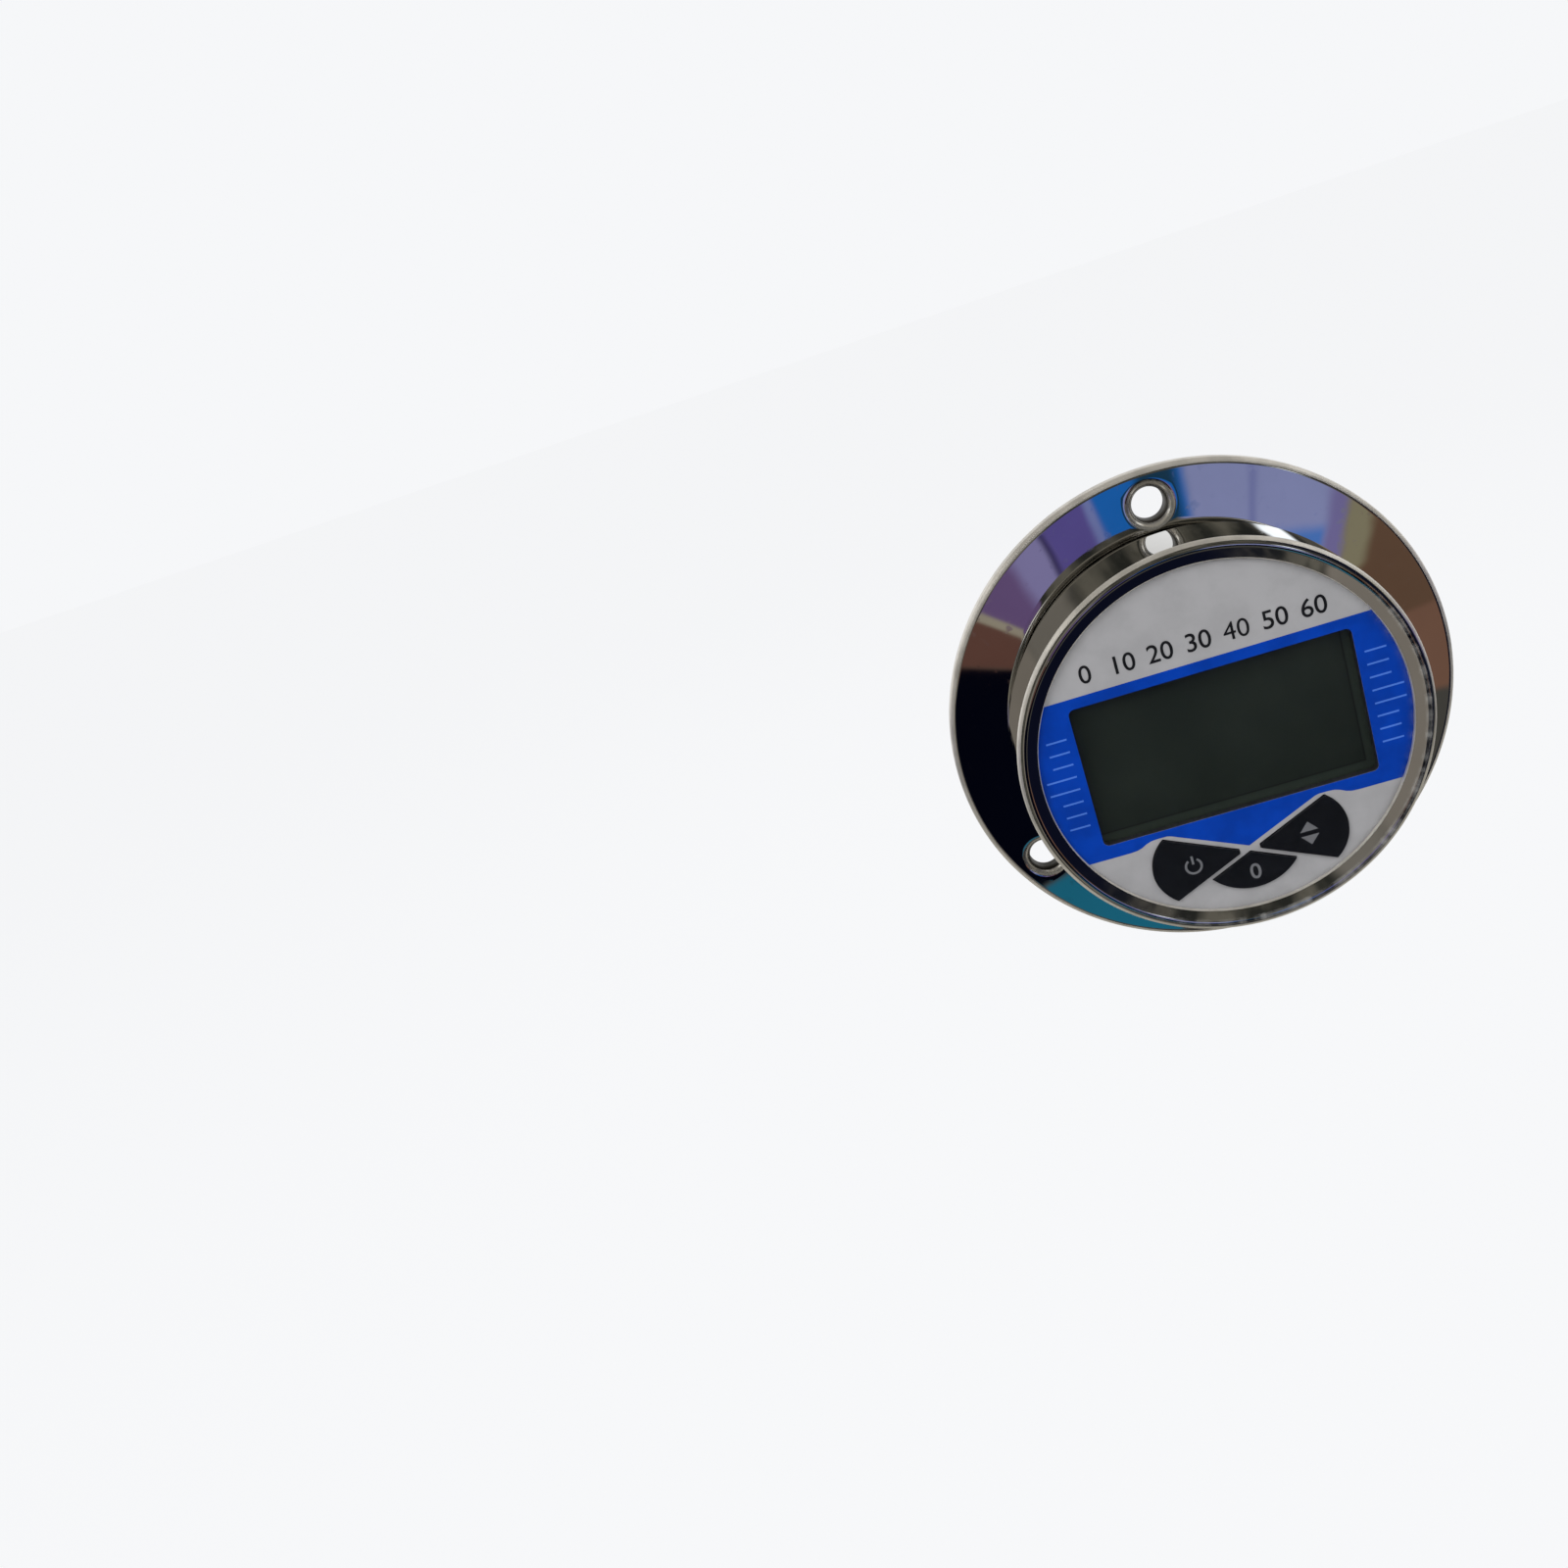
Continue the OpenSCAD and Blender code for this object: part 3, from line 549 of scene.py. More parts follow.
class Tree:
    """A node tree, with short calls for the nodes that the finishes are made of."""

    def __init__(self, tree):
        self.tree = tree

    def give(self, socket, value):
        """Feeds a socket from an output, or sets its value."""
        if isinstance(value, bpy.types.NodeSocket):
            self.tree.links.new(value, socket)
        else:
            socket.default_value = value

    def node(self, kind, inputs=(), **settings):
        """Adds a node. Its inputs are values, or the outputs that feed them."""
        node = self.tree.nodes.new("ShaderNode" + kind)
        for key, value in settings.items():
            setattr(node, key, value)
        for key, value in dict(inputs).items():
            self.give(node.inputs[key], value)
        return node

    def calc(self, operation, *values):
        """The result of a Math node."""
        return self.node("Math", enumerate(values), operation=operation).outputs[0]

    def spread(self, value, low, high, first=0.0, last=1.0):
        """Maps a value smoothly from one range to another."""
        limits = {"From Min": low, "From Max": high, "To Min": first, "To Max": last}
        return self.node(
            "MapRange", {"Value": value, **limits}, interpolation_type="SMOOTHSTEP"
        ).outputs["Result"]

    def blend(self, mask, first, second):
        """The first colour where the mask is 0, the second where it is 1."""
        node = self.node("Mix", data_type="RGBA")
        for index, value in ((0, mask), (6, first), (7, second)):
            plain = index and not isinstance(value, bpy.types.NodeSocket)
            self.give(node.inputs[index], (*value, 1) if plain else value)
        return node.outputs[2]

    def here(self, kind="Object"):
        """Coordinates that go with the object."""
        return self.node("TexCoord").outputs[kind]

    def split(self, vector):
        """The three parts of a vector."""
        return self.node("SeparateXYZ", {0: vector}).outputs

    def join(self, first, second):
        """A vector of two parts."""
        return self.node("CombineXYZ", {0: first, 1: second, 2: 0.0}).outputs[0]

    def noise(self, vector, scale, detail, rough=0.5):
        """Noise from 0 to 1."""
        values = {"Vector": vector, "Scale": scale, "Detail": detail, "Roughness": rough}
        return self.node("TexNoise", values).outputs["Fac"]

    def bump(self, height, distance):
        """The normal of a surface with that height on it."""
        values = {"Strength": 1.0, "Distance": distance, "Height": height}
        return self.node("Bump", values).outputs["Normal"]

    def effect(self, name, **values):
        """One of the shared node groups, with its own values."""
        node = self.node("Group")
        node.node_tree = bpy.data.node_groups.get(name) or EFFECTS[name](name)
        for key, value in values.items():
            self.give(node.inputs[key], value)
        return node.outputs

    def feed(self, **links):
        """Links outputs to the inputs of the material's Principled shader."""
        shader = self.tree.nodes["Principled BSDF"]
        for key, source in links.items():
            self.tree.links.new(source, shader.inputs[key.replace("_", " ")])


def new_group(name, inputs, *outputs):
    """A shader node group with named sockets: its tree, what it is given and what it puts out."""
    tree = bpy.data.node_groups.new(name, "ShaderNodeTree")
    for label, value in inputs.items():
        socket = tree.interface.new_socket(label, in_out="INPUT", socket_type="NodeSocketFloat")
        socket.default_value = value
    for label in outputs:
        kind = "NodeSocketVector" if label == "Normal" else "NodeSocketFloat"
        tree.interface.new_socket(label, in_out="OUTPUT", socket_type=kind)
    given = tree.nodes.new("NodeGroupInput").outputs
    return Tree(tree), given, tree.nodes.new("NodeGroupOutput").inputs


def blotches(name):
    """Soft uneven patches, as finger marks and thin dirt leave on a surface."""
    t, given, out = new_group(name, {"Size": 0.01}, "Value")
    patches = t.noise(t.here(), t.calc("DIVIDE", 1.0, given["Size"]), 4.0, 0.55)
    t.give(out["Value"], t.spread(patches, 0.35, 0.68))
    return t.tree


def scratches(name):
    """Fine scratches in all directions, drawn as thin stretched noise."""
    t, given, out = new_group(name, {"Size": 0.004}, "Value")
    place_in = t.here()
    scale = t.calc("DIVIDE", 1.0, given["Size"])
    total = 0.0
    for turn, stretch in ((0.5, 0.06), (1.9, 0.045), (2.7, 0.08)):
        rotation = (turn, turn * 0.7, turn * 1.3)
        turned = t.node("Mapping", {"Vector": place_in, "Rotation": rotation}).outputs[0]
        squeezed = t.node("Mapping", {"Vector": turned, "Scale": (1.0, stretch, 1.0)}).outputs[0]
        line = t.spread(t.noise(squeezed, scale, 2.0), 0.66, 0.72)
        total = t.calc("MAXIMUM", total, line)
    t.give(out["Value"], total)
    return t.tree


def ripple(name):
    """Slow ripples that bend the reflections of a polished sheet."""
    t, given, out = new_group(name, {"Size": 0.012, "Height": 0.00002}, "Normal")
    waves = t.noise(t.here(), t.calc("DIVIDE", 1.0, given["Size"]), 1.0)
    t.give(out["Normal"], t.bump(waves, given["Height"]))
    return t.tree


def turning_marks(name):
    """Rings left by turning, from the distance to the gauge's axis and the place along it."""
    t, given, out = new_group(name, {"Pitch": 0.0002, "Height": 0.000004}, "Value", "Normal")
    x, y, z = t.split(t.here())
    radius = t.calc("SQRT", t.calc("ADD", t.calc("MULTIPLY", x, x), t.calc("MULTIPLY", z, z)))
    line = t.calc("DIVIDE", t.calc("ADD", radius, y), given["Pitch"])
    rings = t.node(
        "TexNoise", {"W": line, "Scale": 1.0, "Detail": 3.0}, noise_dimensions="1D"
    ).outputs["Fac"]
    t.give(out["Value"], rings)
    t.give(out["Normal"], t.bump(rings, given["Height"]))
    return t.tree


def moulded_grain(name):
    """The fine sparkle of moulded plastic, paint or paper."""
    t, given, out = new_group(name, {"Size": 0.0003, "Height": 0.00001}, "Value", "Normal")
    grain = t.noise(t.here(), t.calc("DIVIDE", 1.0, given["Size"]), 2.0)
    t.give(out["Value"], grain)
    t.give(out["Normal"], t.bump(grain, given["Height"]))
    return t.tree


EFFECTS = {
    "Blotches": blotches,
    "Fine scratches": scratches,
    "Polish ripple": ripple,
    "Turning marks": turning_marks,
    "Moulded grain": moulded_grain,
}


# Materials


def new_material(name, **constants):
    """A material and its tree, with constants set on its Principled shader."""
    material = bpy.data.materials.new(name)
    material.use_nodes = True
    shader = material.node_tree.nodes["Principled BSDF"]
    for key, value in constants.items():
        shader.inputs[key.replace("_", " ")].default_value = value
    return material, Tree(material.node_tree)


def shared(name, maker, *values, **more):
    """The material of that name, made at its first use."""
    return bpy.data.materials.get(name) or maker(name, *values, **more)


def scaled(value, factor):
    """A colour made darker or lighter."""
    return tuple(min(1.0, channel * factor) for channel in value)


def polished(name, height):
    """Mirror polished stainless steel with faint marks and ripples of that height."""
    colours = bpy.context.scene.gauge_colours
    material, t = new_material(name, Metallic=1.0)
    haze = t.effect("Blotches", Size=0.016)["Value"]
    marks = t.effect("Fine scratches", Size=0.0022)["Value"]
    gloss = t.calc("MULTIPLY_ADD", haze, colours.polish, colours.polish)
    t.feed(
        Base_Color=t.blend(haze, colours.polished, scaled(colours.polished, 0.94)),
        Roughness=t.calc("ADD", gloss, t.calc("MULTIPLY", marks, 0.05)),
        Normal=t.effect("Polish ripple", Size=0.014, Height=height)["Normal"],
    )
    return material


def polished_steel():
    """The steel of the flange and the neck."""
    return shared("polished steel", polished, 0.000012)


def drawn_steel():
    """The same steel where it was drawn over a tool and ripples more."""
    return shared("drawn steel", polished, 0.00004)


def satin_sheen_edges(mesh, chosen):
    """Gives the edges that the test picks the satin finish of fine scratches, with a light beige,
    partly diffuse tone that paints their highlight. The test gets a face's radius, its level and its
    normal along the gauge's axis."""
    colours = bpy.context.scene.gauge_colours
    # the light tone and the part diffuse metal of this satin steel paint a highlight on the chosen
    # edges
    mesh.materials.append(shared("satin steel", moulded, colours.satin, 0.40, 0.8, metal=0.75))
    for face in mesh.polygons:
        u, depth, v = face.center
        if chosen(math.hypot(u, v), -depth, -face.normal.y):
            face.material_index = len(mesh.materials) - 1


def turned_steel():
    """Machined steel with rings from the tool."""
    colours = bpy.context.scene.gauge_colours
    material, t = new_material("turned steel", Metallic=1.0)
    haze = t.effect("Blotches", Size=0.005)["Value"]
    rings = t.effect("Turning marks", Pitch=0.00022, Height=0.000006)
    gloss = t.calc("MULTIPLY_ADD", rings["Value"], 0.1, 0.29)
    t.feed(
        Base_Color=t.blend(haze, colours.turned, scaled(colours.turned, 0.86)),
        Roughness=t.calc("MULTIPLY_ADD", haze, 0.10, gloss),
        Normal=rings["Normal"],
    )
    return material


def grained(material, t, base, gloss, vary, patch, size, height, swing):
    """Feeds a shader with a patchy colour and a fine grain that also varies the gloss."""
    haze = t.effect("Blotches", Size=patch)["Value"]
    tooth = t.effect("Moulded grain", Size=size, Height=height)
    t.feed(
        Base_Color=t.blend(haze, base, scaled(base, vary)),
        Roughness=t.calc("MULTIPLY_ADD", tooth["Value"], swing, gloss - swing / 2),
        Normal=tooth["Normal"],
    )
    return material


def printed(name, ink, gloss=0.4, vary=0.9, coat=0.2, shine=0.3):
    """A layer of ink or a printed film."""
    material, t = new_material(
        name, Coat_Weight=coat, Coat_Roughness=0.12, Specular_IOR_Level=shine
    )
    return grained(material, t, ink, gloss, vary, 0.006, 0.0002, 0.000004, 0.12)


def moulded(name, base, gloss=0.45, vary=0.85, grain=0.000012, metal=0.0):
    """Moulded plastic or rubber, or plated metal."""
    material, t = new_material(name, Metallic=metal)
    return grained(material, t, base, gloss, vary, 0.004, 0.00025, grain, 0.16)


def board_finish():
    """Green solder mask with faint copper tracks under it."""
    material, t = new_material("solder mask", Coat_Weight=0.4, Coat_Roughness=0.2)
    tracks = t.node(
        "TexVoronoi",
        {"Vector": t.here(), "Scale": 420.0},
        feature="DISTANCE_TO_EDGE",
        distance="CHEBYCHEV",
    ).outputs["Distance"]
    haze = t.effect("Blotches", Size=0.004)["Value"]
    ground = t.blend(haze, (0.010, 0.115, 0.035), (0.007, 0.085, 0.026))
    t.feed(
        Base_Color=t.blend(t.spread(tracks, 0.03, 0.06, 1.0, 0.0), ground, (0.035, 0.22, 0.07)),
        Roughness=t.calc("MULTIPLY_ADD", haze, 0.12, 0.3),
    )
    return material


def pane_finish():
    """Clear pane over the display, with faint wipe marks."""
    material, t = new_material(
        "window pane", Transmission_Weight=1.0, IOR=1.49, Roughness=0.03, Alpha=0.12
    )
    haze = t.effect("Blotches", Size=0.012)["Value"]
    t.feed(Base_Color=t.blend(haze, (0.93, 0.96, 0.94), (0.88, 0.92, 0.90)))
    return material


def display_finish(size, colours):
    """The dark display, with the edge of its polariser at the right and the bottom."""
    material, t = new_material("dark display", Coat_Weight=1.0, Coat_Roughness=0.05)
    haze = t.effect("Blotches", Size=0.02)["Value"]
    u, _, v = t.split(t.here())
    beyond = t.calc(
        "MAXIMUM",
        t.calc("SUBTRACT", u, size.polariser_right),
        t.calc("SUBTRACT", -size.polariser_foot, v),
    )
    brim = t.spread(beyond, -0.05 * MM, 0.05 * MM)
    line = t.spread(t.calc("ABSOLUTE", beyond), 0.06 * MM, 0.2 * MM, 1.0, 0.0)
    tint = t.blend(haze, colours.display, scaled(colours.display, 1.3))
    tint = t.blend(brim, tint, scaled(colours.display, 1.9))
    tint = t.blend(line, tint, scaled(colours.display, 0.3))
    t.feed(Base_Color=tint, Roughness=t.calc("MULTIPLY_ADD", haze, 0.1, 0.30))
    return material


def film_pleat_sheen(strength):
    """Clear film that shows only at its outer edge low on the right, where it is pleated; the pleats
    are drawn in a pale tint that paints their sheen.
    """
    material, t = new_material("clear film", Base_Color=(0.80, 0.80, 0.78, 1), Roughness=0.3)
    u, _, v = t.split(t.here())
    radius = t.calc("SQRT", t.calc("MULTIPLY_ADD", u, u, t.calc("MULTIPLY", v, v)))
    turn = t.calc("ARCTAN2", v, u)
    folds = t.join(t.calc("MULTIPLY", turn, 4.0), t.calc("MULTIPLY", radius, 18.0))
    # pale tint on the pleats: real creases, drawn as painted sheen
    pleat_sheen = t.spread(t.noise(folds, 4.0, 3.0), 0.30, 0.95)
    lean = t.calc("SUBTRACT", t.calc("MULTIPLY", u, 0.75), t.calc("MULTIPLY", v, 0.65))
    low_right = t.spread(lean, -6 * MM, 26 * MM)
    outer = t.spread(radius, 28.5 * MM, 31.8 * MM)
    pleat_sheen = t.calc("MULTIPLY", pleat_sheen, t.calc("MULTIPLY", outer, low_right))
    t.feed(Alpha=t.calc("MULTIPLY", pleat_sheen, strength))
    return material


def frosted_finish(tint):
    """Soft translucent plastic of the thread cap."""
    material, t = new_material("frosted cap", Transmission_Weight=0.72, IOR=1.42)
    haze = t.effect("Blotches", Size=0.003)["Value"]
    t.feed(
        Base_Color=t.blend(haze, tint, scaled(tint, 0.94)),
        Roughness=t.calc("MULTIPLY_ADD", haze, 0.1, 0.30),
        Normal=t.effect("Moulded grain", Size=0.0006, Height=0.00002)["Normal"],
    )
    return material


# The pieces, one operator each


class Step:
    """What the building steps have in common."""

    bl_options = {"REGISTER", "UNDO"}


class GAUGE_OT_bezel(Step, bpy.types.Operator):
    """Build the bezel ring with its rolled edge, sloping lip and hem"""

    bl_idname = "gauge.bezel"
    bl_label = "Bezel ring"

    def execute(self, context):
        size = context.scene.gauge_bezel
        radius = reach("bezel_ring")
        front, rear = levels("bezel_ring")
        face = front - size.dial_drop
        inner = radius - size.wall
        crown = radius - size.edge_round - size.crown_width
        outline = [
            (inner, rear, 0.0),
            (radius, rear, size.rear_round),
            (radius, front, size.edge_round),
            (crown, front, size.edge_round),
            (size.dial_radius, face + size.hem_rise, size.hem),
            (size.dial_radius, face, size.hem * 0.9),
            (inner, face, 0.0),
        ]
        mesh = turned_mesh("bezel", rounded(outline))
        piece = place(mesh, drawn_steel(), ("bezel_ring",))

        # faces of the rolled edge and the hem, which get the satin steel with its painted highlight
        def satin_and_sheen(r, level, slope):
            rolled = r > radius - size.edge_round and ROLLED_SHEEN[0] < slope < ROLLED_SHEEN[1]
            return rolled or (r < size.dial_radius + size.hem * 0.5 and level > face)

        satin_sheen_edges(mesh, satin_and_sheen)
        even_normals(piece)
        return {"FINISHED"}


class GAUGE_OT_case(Step, bpy.types.Operator):
    """Build the drawn case as a closed shell"""

    bl_idname = "gauge.case"
    bl_label = "Case"

    def execute(self, context):
        size = context.scene.gauge_case
        radius = reach("case_shell")
        front, rear = levels("case_shell")
        step = levels("mounting_flange")[0]
        wall = size.wall
        inner = size.rear_radius - wall
        seat = size.rear_radius - size.seat_relief
        rim = radius - size.rim_width
        outline = [
            (rim, front, wall * 0.25),
            (radius, front, wall * 0.25),
            (radius, step, size.step_round),
            (seat, step, 0.0),
            (seat, 0.0, 0.0),
            (size.rear_radius, 0.0, 0.0),
            (size.rear_radius, rear, size.rear_round),
            (size.neck_hole, rear, 0.0),
            (size.neck_hole, rear + wall, 0.0),
            (inner, rear + wall, size.rear_round - wall),
            (inner, step + wall, 0.0),
            (radius - wall, step + wall, size.step_round / 2),
            (radius - wall, front - wall, 0.0),
            (rim, front - wall, 0.0),
        ]
        mesh = turned_mesh("case", rounded(outline, math.radians(6)))
        even_normals(place(mesh, drawn_steel(), ("case_shell",)))
        return {"FINISHED"}


def add_strip(form, first, second):
    """Joins two closed rings of vertices."""
    for i, vert in enumerate(first):
        form.faces.new((first[i - 1], vert, second[i], second[i - 1]))


def add_holed_face(form, radii, level_of, hole, places, rings=5):
    """A ring-shaped face round the axis with round holes. Gives the edge of each hole."""
    grid = []
    for k in range(AROUND):
        points = (polar(r, math.tau * k / AROUND) for r in radii)
        grid.append([form.verts.new(at(u, v, level_of(u, v))) for u, v in points])
    last = len(radii) - 1
    taken = set()
    edges = []
    for centre in places:
        middle = round(math.atan2(centre[1], centre[0]) / math.tau * AROUND)
        left, right = middle - HALF_PATCH, middle + HALF_PATCH
        taken.update(k % AROUND for k in range(left, right))
        patch = [grid[k % AROUND][0] for k in range(left, right)]
        patch += [grid[right % AROUND][i] for i in range(last)]
        patch += [grid[k % AROUND][last] for k in range(right, left, -1)]
        patch += [grid[left % AROUND][i] for i in range(last, 0, -1)]
        ring = patch
        for step in range(1, rings + 1):
            inner = []
            for vert in patch:
                out = Vector((vert.co.x - centre[0], vert.co.z - centre[1]))
                out += (out.normalized() * hole - out) * step / rings
                u, v = centre[0] + out.x, centre[1] + out.y
                inner.append(form.verts.new(at(u, v, level_of(u, v))))
            add_strip(form, ring, inner)
            ring = inner
        edges.append(ring)
    for k in range(AROUND):
        if k not in taken:
            here, there = grid[k], grid[(k + 1) % AROUND]
            for i in range(last):
                form.faces.new((here[i], here[i + 1], there[i + 1], there[i]))
    loose = [v for v in form.verts if not v.link_faces]
    bmesh.ops.delete(form, geom=loose, context="VERTS")
    return edges


class GAUGE_OT_flange(Step, bpy.types.Operator):
    """Build the flange: its face slopes back to a round edge and has three dished bolt holes"""

    bl_idname = "gauge.flange"
    bl_label = "Mounting flange"

    def execute(self, context):
        size = context.scene.gauge_flange
        radius = reach("mounting_flange")
        front, rear = levels("mounting_flange")
        seat = reach("case_shell")
        edge = size.edge_round
        flat = radius - edge
        places = [polar(size.bolt_radius, math.radians(turn)) for turn in BOLT_ANGLES]

        def face_level(u, v):
            way = (math.hypot(u, v) - seat) / (flat - seat)
            return front - size.fall * min(1.0, max(0.0, way))

        form = bmesh.new()
        first = seat + size.face_start
        radii = [seat] + [first + (flat - first) * k / 11 for k in range(12)]
        tops = add_holed_face(form, radii, face_level, size.dish_radius, places)
        wide = size.hole_radius + size.rear_edge
        feet = add_holed_face(form, radii, lambda u, v: rear, wide, places)
        turns = quarter(10)
        brow = front - size.fall
        rim = [(flat + edge * math.sin(a), brow - edge * (1 - math.cos(a))) for a in turns]
        rim += [(flat + edge * math.cos(a), rear + edge * (1 - math.sin(a))) for a in turns]
        bore = size.bore_radius
        add_rows(form, still(rim), AROUND)
        inside = [(seat, front), (bore, front), (bore, rear), (seat, rear)]
        add_rows(form, still(inside), AROUND)
        throat = front - size.dish_depth
        for centre, top, foot in zip(places, tops, feet):
            ring = top
            for turn in quarter(12)[1:]:
                narrow = size.dish_radius - (size.dish_radius - size.hole_radius) * math.sin(turn)
                inner = []
                for vert in top:
                    out = Vector((vert.co.x - centre[0], vert.co.z - centre[1]))
                    out = out.normalized() * narrow
                    level = throat + (-vert.co.y - throat) * math.cos(turn)
                    inner.append(form.verts.new(at(centre[0] + out.x, centre[1] + out.y, level)))
                add_strip(form, ring, inner)
                ring = inner
            sink = Vector((0, throat - rear - size.rear_edge, 0))
            inner = [form.verts.new(vert.co + sink) for vert in ring]
            add_strip(form, ring, inner)
            add_strip(form, inner, foot)
        mesh = finished("flange", form)
        piece = place(mesh, polished_steel(), ("mounting_flange",))
        # the hole wall: rough punched steel, its dark colour partly painted shade inside the hole
        punched_and_shaded = moulded("punched steel", (0.085, 0.078, 0.066), 0.45, 0.6, metal=1.0)
        # the dish: pressed satin steel whose light, partly diffuse tone paints a sheen in the dish
        pressed_sheen = moulded("pressed steel", (0.84, 0.81, 0.75), 0.22, 0.75, metal=0.88)
        mesh.materials.append(punched_and_shaded)
        mesh.materials.append(pressed_sheen)
        for face in mesh.polygons:
            u, _, v = face.center
            near = min(math.hypot(u - a, v - b) for a, b in places)
            # the wall of each hole takes the dark steel with its painted shade
            if near < size.hole_radius + size.punched_shade_edge:
                face.material_index = 1
            # a dish face takes the pressed steel with its painted sheen
            elif near < size.dish_radius and face.normal.y > -FLAT:
                face.material_index = 2
        # the flange's rim gets the satin steel with its painted highlight
        satin_sheen_edges(mesh, lambda r, level, slope: r > flat and abs(slope) < SHEEN_RIM_LEAN)
        even_normals(piece)
        return {"FINISHED"}


class GAUGE_OT_fitting(Step, bpy.types.Operator):
    """Build the neck, the hexagon and the threaded stub"""

    bl_idname = "gauge.fitting"
    bl_label = "Neck and hexagon"

    def execute(self, context):
        size = context.scene.gauge_fitting
        case_rear = levels("case_shell")[1]
        radius = reach("sensor_neck")
        neck_front, neck_rear = levels("sensor_neck")
        spigot = context.scene.gauge_case.neck_hole - size.neck_gap
        bore = size.neck_bore
        outline = [
            (bore, neck_rear, 0.0),
            (radius, neck_rear, size.neck_edge),
            (radius, case_rear, 0.0),
            (spigot, case_rear, 0.0),
            (spigot, neck_front, 0.0),
            (bore, neck_front, 0.0),
        ]
        mesh = turned_mesh("neck", rounded(outline), 160)
        even_normals(place(mesh, polished_steel(), ("sensor_neck",)))

        top, end = levels("hex_fitting")
        hex_rear = neck_rear - size.hex_length
        apothem = size.hex_flats / 2
        corner = apothem / math.cos(math.pi / 6) - size.hex_corner
        stub = size.thread_radius
        groove_radius = stub - size.relief_depth
        pitch = size.thread_pitch
        thread_top = hex_rear - size.relief_width
        thread_end = end + size.thread_chamfer

        def hex_row(h):
            def row(turn):
                off = (turn + math.pi / 6) % (math.pi / 3) - math.pi / 6
                cone = apothem + min(neck_rear - h, h - hex_rear) / math.tan(math.pi / 6)
                return min(apothem / math.cos(off), corner, cone), h

            return row

        def thread_row(h):
            fade = max(0.0, min(1.0, (thread_top - h) / pitch, (h - thread_end) / pitch))

            def row(turn):
                groove = 0.5 - 0.5 * math.cos(math.tau * (h / pitch + turn / math.tau))
                return stub - size.thread_depth * fade * groove**1.4, h

            return row

        ridge = size.hex_ridge
        heights = [neck_rear - ridge * k / 12 for k in range(13)]
        heights += [hex_rear + ridge * k / 12 for k in range(12, -1, -1)]
        count = round((thread_top - thread_end) / pitch * 10)
        turns = [thread_top - (thread_top - thread_end) * k / count for k in range(1, count)]
        rows = still([(size.port_radius, top), (bore, top), (bore, neck_rear)])
        rows += [hex_row(h) for h in heights]
        relief = [(groove_radius, hex_rear), (groove_radius, thread_top + size.relief_depth / 2)]
        rows += still(relief + [(stub, thread_top)])
        rows += [thread_row(h) for h in turns]
        tip = [(stub, thread_end), (stub - size.thread_chamfer, end), (size.port_radius, end)]
        rows += still(tip)
        form = bmesh.new()
        add_rows(form, rows, 192, closed=True)
        mesh = finished("hexagon", form, 24.0)
        even_normals(place(mesh, turned_steel(), ("hex_fitting",)))
        return {"FINISHED"}


class GAUGE_OT_cap(Step, bpy.types.Operator):
    """Build the frosted cap that is pushed over the thread"""

    bl_idname = "gauge.cap"
    bl_label = "Thread cap"

    def execute(self, context):
        size = context.scene.gauge_fitting
        outer = reach("thread_cap")
        bore = outer - size.cap_wall
        front, end = levels("thread_cap")
        outline = [
            (0.0, end, 0.0),
            (outer, end, size.cap_round),
            (outer, front, size.cap_wall * 0.3),
            (bore, front, size.cap_wall * 0.3),
            (bore, end + size.cap_end, size.cap_wall * 0.6),
            (0.0, end + size.cap_end, 0.0),
        ]
        mesh = turned_mesh("cap_shell", rounded(outline, math.radians(10)), 128)
        finish = frosted_finish(context.scene.gauge_colours.cap)
        place(mesh, finish, ("thread_cap",), "cap")
        return {"FINISHED"}


def key_outline(size, key):
    """The outline of one key's opening, as (u, v) from the dial's centre."""
    half = size.key_half_angle
    facing, half, centre, radius = {
        "key_power": (math.pi, half, (-size.side_arc_out, 0), size.side_arc),
        "key_unit": (0.0, half, (size.side_arc_out, 0), size.side_arc),
        "key_zero": (-math.pi / 2, math.pi / 2 - half, (0, size.foot_arc_up), size.foot_arc),
    }[key]
    apex = polar(size.key_web / 2 / math.sin(half), facing)
    loop = circle(radius + size.key_gap, 120, centre)
    for side in (1, -1):
        edge = facing + side * half
        loop = clipped(loop, apex, (side * math.sin(edge), -side * math.cos(edge)))
    return [(u, v - size.key_meet) for u, v in loop]


def band_outline(size, rim):
    """The blue band between two arcs of the dial's rim, with its steps over the keys."""
    up = math.asin(size.band_top / rim)
    down = math.asin(-size.band_foot / rim)
    edge = size.key_meet - size.key_web * 0.7 / math.cos(size.key_half_angle)
    foot, waist = -size.band_foot, -size.band_waist
    curl = size.side_arc_out * 2
    meet = (edge - size.band_waist) / math.tan(size.key_half_angle)
    steps = (
        # from where it is counted across, and how far from there; the same for its height
        (curl, 1.0, foot, 0.0),
        (curl, -0.2, foot, 0.08),
        (curl, -1.1, foot, 0.36),
        (curl, -1.9, waist, -0.38),
        (curl, -2.8, waist, -0.08),
        (curl, -3.8, waist, 0.0),
        (meet, 0.5, waist, 0.0),
        (meet, -0.1, waist, -0.16),
    )
    right = [(u + du * MM, v + dv * MM) for u, du, v, dv in steps]
    left = [(-u, v) for u, v in right]
    sides = arc(rim, down, up, 48) + arc(rim, math.pi - up, math.pi - down, 48)
    return sides + left + [(0.0, -edge)] + right[::-1]


